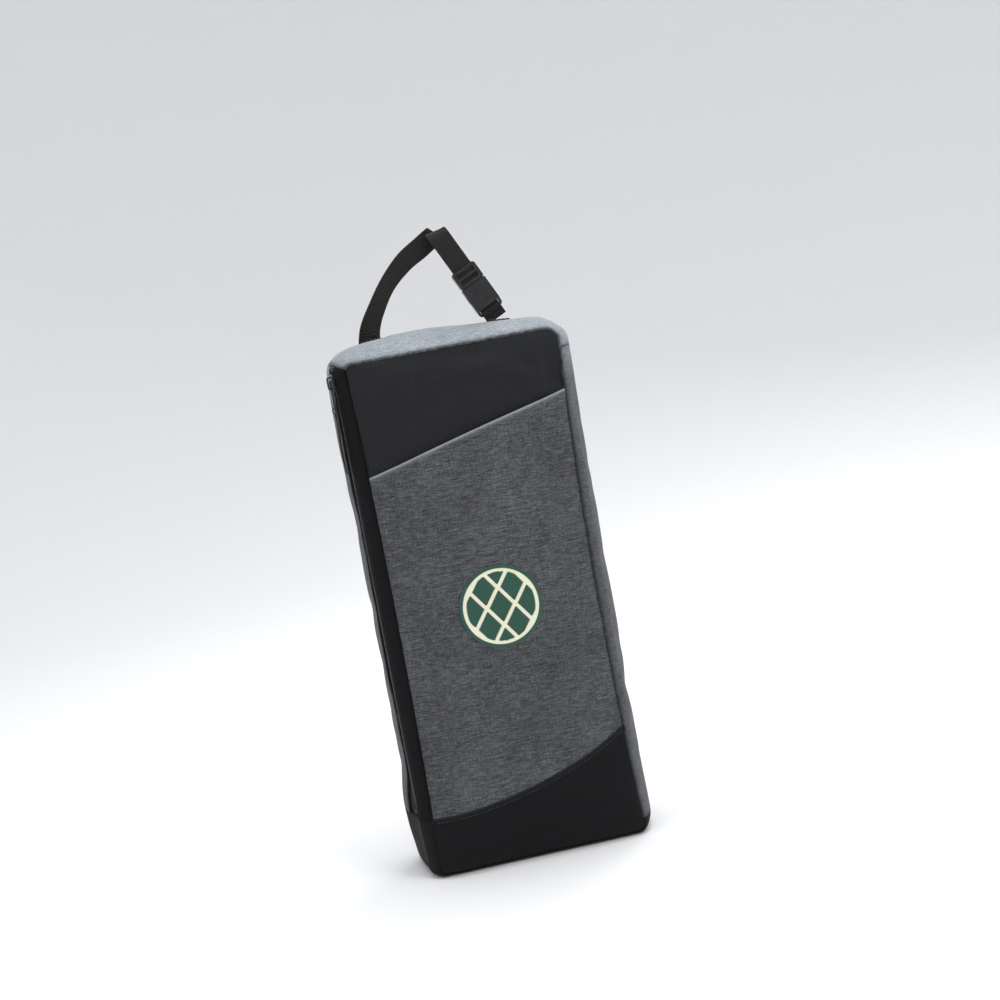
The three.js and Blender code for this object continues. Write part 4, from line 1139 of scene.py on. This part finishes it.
# ------------------------------------------------------------------ the strap
SWING = next(j for j in frame["joints"] if j["name"] == "strap_swing")
PIVOT = Vector(SWING["pos_m"])
WEB_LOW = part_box("strap_web")[0]
WEB_WIDTH = 16 * MM
FOOT_LEFT = WEB_LOW.x + WEB_WIDTH / 2
FOOT_RIGHT = 2 * PIVOT.x - FOOT_LEFT
LEAN = math.radians(26)
ALONG = Vector((-math.sin(LEAN), 0, math.cos(LEAN)))
LEVEL = Vector((math.cos(LEAN), 0, math.sin(LEAN)))
FORWARD = Vector((0, -1, 0))
LEG_FOOT = Vector((FOOT_RIGHT, PIVOT.y, PIVOT.z))
WEB_PLANE = 2.9 * MM  # the webbing's distance in front of the leg's line
FOOT_ENDS = ((0, 0, WEB_LOW.z - 1 * MM), (0, 0, WEB_LOW.z + 6 * MM))


def on_leg(s, forward):
    return LEG_FOOT + ALONG * s * MM + FORWARD * forward


def spline(knots, count, tension=0.5):
    """Points evenly along a Catmull-Rom line."""
    knots = np.array(knots, float)
    padded = np.concatenate([[2 * knots[0] - knots[1]], knots, [2 * knots[-1] - knots[-2]]])
    t = np.linspace(0, len(knots) - 1 - 1e-9, count)
    i = t.astype(int)
    u = (t - i)[:, None]
    p0, p1, p2, p3 = (padded[i + k] for k in range(4))
    cubic = u * (3 * (p1 - p2) + p3 - p0)
    return p1 + tension * u * (p2 - p0 + u * (2 * p0 - 5 * p1 + 4 * p2 - p3 + cubic))


def webbing(name, centres, across, width, thick, material, pitch=2.1 * MM):
    """Ribbed webbing swept along a line, with rounded edges."""
    centres, across = np.asarray(centres), unit(np.asarray(across))
    run = unit(np.gradient(centres, axis=0))
    normal = unit(np.cross(across, run))
    across = np.cross(run, normal)
    travel = np.concatenate([[0], np.cumsum(np.linalg.norm(np.diff(centres, axis=0), axis=1))])
    section = rounded_rectangle(-width / 2, -thick / 2, width / 2, thick / 2, thick * 0.45, 4)
    section = np.array(densify(section, 1.0 * MM))
    rib = np.abs(np.sin(math.pi * travel / pitch)) ** 0.7
    rings = []
    for k in range(len(centres)):
        edge = np.clip((width / 2 - np.abs(section[:, 0])) / (1.6 * MM), 0, 1)
        lift = 1 - 0.24 * (1 - rib[k]) * edge
        side = 1 - 0.012 * (1 - rib[k])
        wide = section[:, :1] * side * across[k]
        rings.append(centres[k] + wide + (section[:, 1] * lift)[:, None] * normal[k])
    return tube_grid(name, rings, material)


def densify(outline, step):
    """Adds points so that no side of a closed outline is longer than step."""
    found = []
    for k, (x0, y0) in enumerate(outline):
        x1, y1 = outline[(k + 1) % len(outline)]
        pieces = max(1, int(math.hypot(x1 - x0, y1 - y0) / step + 0.5))
        found += [(x0 + (x1 - x0) * i / pieces, y0 + (y1 - y0) * i / pieces) for i in range(pieces)]
    return found


# the strap's left leg: places from its foot in mm, each with the way the webbing's width points
LEFT_LEG = [
    ((-0.1, 0, -1.5), (1, 0, 0)),
    ((0, 0, 0), (1, 0, 0)),
    ((2.5, 0.4, 9.4), (0.93, 0.32, -0.1)),
    ((9, 2, 21.4), (0.78, 0.56, -0.33)),
    ((21, 4.5, 38.4), (0.64, 0.62, -0.48)),
    ((36, 6.6, 52.4), (0.68, 0.4, -0.6)),
    ((51, 8, 61.4), (0.82, 0.12, -0.45)),
]


def make_strap():
    foot = Vector((FOOT_LEFT, PIVOT.y, WEB_LOW.z))
    knots = [foot + Vector(rise) * MM for rise, lean in LEFT_LEG]
    leans = [lean for rise, lean in LEFT_LEG]
    knots += [on_leg(75.5, -5 * MM), on_leg(76.5, -0.6 * MM)]
    knots += [on_leg(s, WEB_PLANE) for s in (72, 64, 50, 34)]
    leans += [(0.97, 0, -0.1), (0.94, 0, 0.28)] + [tuple(LEVEL)] * 4
    count = 700
    web = webbing("strap_webbing", spline(knots, count), spline(leans, count), WEB_WIDTH, 1.8 * MM, WEBBING)
    place(web, ("bag", "strap"), ["strap_web"], ends=FOOT_ENDS)

    cut = (WEB_LOW.z - PIVOT.z) / math.cos(LEAN)
    loop = [LEG_FOOT + ALONG * cut + FORWARD * 1.25 * MM, LEG_FOOT + ALONG * 2 * MM + FORWARD * 1.3 * MM]
    for k in range(9):
        angle = math.radians(-30 + 240 * k / 8)
        up = ALONG * (6 + 3.5 * math.sin(angle)) * MM
        loop.append(LEG_FOOT + up + FORWARD * 2.45 * MM * math.cos(angle))
    loop += [LEG_FOOT + ALONG * 2 * MM - FORWARD * 1.3 * MM, LEG_FOOT + ALONG * cut - FORWARD * 1.25 * MM]
    count = 130
    level_width = np.tile(np.array(LEVEL), (count, 1))
    short = webbing("short_webbing", spline(loop, count), level_width, 15.6 * MM, 1.1 * MM, WEBBING)
    place(short, ("bag", "strap"), ["strap_short_web"], ends=FOOT_ENDS)


def surface_of(obj):
    tree = BVHTree.FromObject(obj, bpy.context.evaluated_depsgraph_get())

    def height(x, y):
        hit = tree.ray_cast(Vector((x, y, 0.6)), Vector((0, 0, -1)))[0]
        return hit.z
    return height


def make_anchors():
    height = surface_of(bpy.data.objects["top_gusset_cloth"])

    def on_top(x, a, b, lift):
        return (x + a, PIVOT.y + b, height(x + a, PIVOT.y + b) + lift)

    corners = [(-6.6, -7.6), (6.6, -7.6), (6.6, 7.6), (-6.6, 7.6), (-6.6, -7.6)]
    for name, x in (("left", FOOT_LEFT), ("right", FOOT_RIGHT)):
        u = np.linspace(-8, 8, 26) * MM
        v = np.linspace(-9, 9, 30) * MM
        grid = np.array([[on_top(x, a, b, 0.75 * MM) for a in u] for b in v])
        ribs = np.abs(np.sin(math.pi * (grid[..., 1] - PIVOT.y) / (2.1 * MM)))
        grid[..., 2] += 0.12 * MM * ribs
        patch = cloth_piece(f"anchor_{name}", grid, 0.9 * MM, WEBBING, towards=(0, 0, 1))
        place(patch, "bag", [f"strap_anchor_{name}"])
        line = []
        for (x0, y0), (x1, y1) in zip(corners, corners[1:]):
            line += [(x0 + (x1 - x0) * k / 12, y0 + (y1 - y0) * k / 12) for k in range(12)]
        line = [on_top(x, a * MM, b * MM, 0.86 * MM) for a, b in line]
        row = stitches(f"anchor_stitching_{name}", line, (0, 0, 1), THREAD_GREY)
        place(row, "bag")


# ------------------------------------------------------------------ the round patch
def make_emblem():
    centre = (EMBLEM_LOW + EMBLEM_HIGH) / 2
    radius = (EMBLEM_HIGH.x - EMBLEM_LOW.x) / 2
    border_width = 2.6 * MM
    across, turns = 26, 128

    def on_patch(x, z, lift):
        return on_pocket(x, z, lift, pocket_gape)

    def circle(angles, reach, lift):
        return on_patch(centre.x + reach * np.cos(angles), centre.z + reach * np.sin(angles), lift)

    rings = [(1.0, 0.0), (1.0, 0.55 * MM)] + [(1 - 0.02 * k, 0.75 * MM) for k in range(1, 3)]
    rings += [(0.96 * (1 - k / across), 0.8 * MM) for k in range(1, across)]
    points, faces = [], []
    angles = np.linspace(0, 2 * math.pi, turns, endpoint=False)
    for size, lift in rings:
        reach = (radius - 0.6 * MM) * size
        points.append(circle(angles, reach, lift))
    for r in range(len(rings) - 1):
        for k in range(turns):
            a, b = r * turns + k, r * turns + (k + 1) % turns
            faces.append((a, b, b + turns, a + turns))
    count = len(rings) * turns
    points.append(on_patch([centre.x], [centre.z], 0.8 * MM))
    points.append(on_patch([centre.x], [centre.z], 0.0))
    last = (len(rings) - 1) * turns
    faces += [(last + k, last + (k + 1) % turns, count) for k in range(turns)]
    faces += [((k + 1) % turns, k, count + 1) for k in range(turns)]
    disc = add_mesh("patch_disc", np.concatenate(points), faces, CREAM)
    outward(disc)
    place(disc, "front_flap", ["emblem_patch"])

    count = 340
    angles = np.linspace(0, 2 * math.pi, count, endpoint=False)
    outer, inner = circle(angles, radius, 0.6 * MM), circle(angles + 0.02, radius - border_width, 0.95 * MM)
    ring = strands("patch_border", outer, inner, (0, -1, 0), 0.36 * MM, GREEN)
    place(ring, "front_flap", ["emblem_border"])

    starts, ends = [], []
    cell_x, cell_z = 10.5 * MM, 14 * MM
    inner = radius - border_width - 2.4 * MM
    for i in range(-3, 4):
        for j in range(-3, 4):
            if (i + j) % 2:
                continue
            cx, cz = i * cell_x, j * cell_z
            for dz in np.arange(-cell_z * 0.86, cell_z * 0.86, 0.52 * MM):
                half = cell_x * 0.86 * (1 - abs(dz) / (cell_z * 0.86))
                z = cz + dz
                if abs(z) >= inner:
                    continue
                limit = math.sqrt(inner**2 - z**2)
                low, high = max(cx - half, -limit), min(cx + half, limit)
                if high - low > 0.9 * MM:
                    starts.append((low, z))
                    ends.append((high, z + 0.1 * MM))
    starts, ends = np.array(starts), np.array(ends)
    laid = strands(
        "patch_argyle",
        on_patch(centre.x + starts[:, 0], centre.z + starts[:, 1], 0.95 * MM),
        on_patch(centre.x + ends[:, 0], centre.z + ends[:, 1], 0.95 * MM),
        (0, -1, 0), 0.34 * MM, GREEN,
    )
    place(laid, "front_flap")


# ------------------------------------------------------------------ hard parts kept from the CAD
def finish_hard_parts():
    finishes = {
        "zip_slider": (SLIDER_METAL, 0.25), "zip_pull": (SLIDER_METAL, 0.25),
        "zip_top_stop": (SLIDER_METAL, 0.2), "zip_bottom_stop": (SLIDER_METAL, 0.2),
        "buckle_socket": (PLASTIC, 0.5), "buckle_plug": (PLASTIC, 0.4),
        "buckle_arm_left": (PLASTIC, 0.3), "buckle_arm_right": (PLASTIC, 0.3),
    }
    for name, (material, width) in finishes.items():
        obj = frame["nodes"][name]
        obj.data.materials.clear()
        obj.data.materials.append(material)
        weld = obj.modifiers.new("weld", "WELD")
        weld.merge_threshold = 0.02 * MM
        bevel = obj.modifiers.new("bevel", "BEVEL")
        bevel.width = width * MM
        bevel.segments = 3
        bevel.limit_method = "ANGLE"
        bevel.angle_limit = math.radians(32)
        bevel.use_clamp_overlap = True
        bevel.harden_normals = False
        for polygon in obj.data.polygons:
            polygon.use_smooth = True
        normal = obj.modifiers.new("normal", "WEIGHTED_NORMAL")
        normal.keep_sharp = True


# ------------------------------------------------------------------ studio
def make_stage():
    rings, turns = [], 96
    profile = [(0.001, 0), (0.4, 0), (0.9, 0), (1.4, 0)]
    sweep = np.linspace(0.1, math.pi / 2, 14)
    profile += [(1.4 + 1.8 * math.sin(a), 1.8 * (1 - math.cos(a))) for a in sweep]
    profile += [(3.2, 3.2)]
    for radius, height in profile:
        angles = [2 * math.pi * k / turns for k in range(turns)]
        rings.append([(radius * math.cos(a), radius * math.sin(a), height) for a in angles])
    flat = [p for ring in rings for p in ring]
    faces = []
    for r in range(len(rings) - 1):
        for k in range(turns):
            a, b = r * turns + k, r * turns + (k + 1) % turns
            faces.append((a, b, b + turns, a + turns))
    faces.append(tuple(range(turns))[::-1])
    paper = bpy.data.materials.new("paper")
    paper.use_nodes = True
    shader = paper.node_tree.nodes["Principled BSDF"]
    shader.inputs["Base Color"].default_value = (0.9, 0.9, 0.905, 1)
    shader.inputs["Roughness"].default_value = 0.95
    shader.inputs["Specular IOR Level"].default_value = 0.1
    floor = add_mesh("studio_floor", flat, faces, paper)

    world = bpy.context.scene.world or bpy.data.worlds.new("world")
    bpy.context.scene.world = world
    world.use_nodes = True
    world.node_tree.nodes["Background"].inputs["Color"].default_value = (0.95, 0.97, 1, 1)
    world.node_tree.nodes["Background"].inputs["Strength"].default_value = 0.62

    def lamp(name, at, aim, size, power):
        light = bpy.data.lights.new(name, "AREA")
        light.shape = "DISK"
        light.size = size
        light.energy = power
        obj = bpy.data.objects.new(name, light)
        obj.location = at
        obj.rotation_euler = (Vector(aim) - Vector(at)).to_track_quat("-Z", "Y").to_euler()
        bpy.context.scene.collection.objects.link(obj)

    lamp("key", (0.75, -1.0, 1.25), (0, 0, 0.25), 0.8, 8)
    lamp("top", (0.1, 0.1, 1.9), (0, 0, 0.3), 1.2, 18)
    lamp("left_fill", (-1.7, -0.9, 0.8), (0, 0, 0.2), 1.2, 5)
    lamp("rim", (0.9, 1.3, 1.2), (0, 0, 0.3), 0.8, 7)
    bpy.context.scene.view_settings.view_transform = "Standard"


def make_camera():
    data = bpy.data.cameras.new("camera")
    data.lens, data.sensor_width = 64.8, 36
    camera = bpy.data.objects.new("camera", data)
    bpy.context.scene.collection.objects.link(camera)
    right = Vector((0.9725, -0.1497, -0.1783)).normalized()
    ahead = Vector((0.1289, 0.984, -0.123)).normalized()
    up = right.cross(ahead).normalized()
    right = ahead.cross(up).normalized()
    # the photo's own view, placed from the front panel's centre
    target = CENTRE + Vector((14.3, -40, 74.1)) * MM
    rotation = Matrix((right, up, -ahead)).transposed().to_4x4()
    camera.matrix_world = Matrix.Translation(target - ahead * 1.3055) @ rotation
    bpy.context.scene.camera = camera


make_camera()
make_stage()
FRONT_SWELL = simulate_front()
GUSSET_SWELL = simulate_gussets()
make_front()
make_back()
make_gussets()
make_front_stitching()
make_zipper()
make_zip_stitching()
make_ribbon()
make_strap()
make_anchors()
make_emblem()
finish_hard_parts()
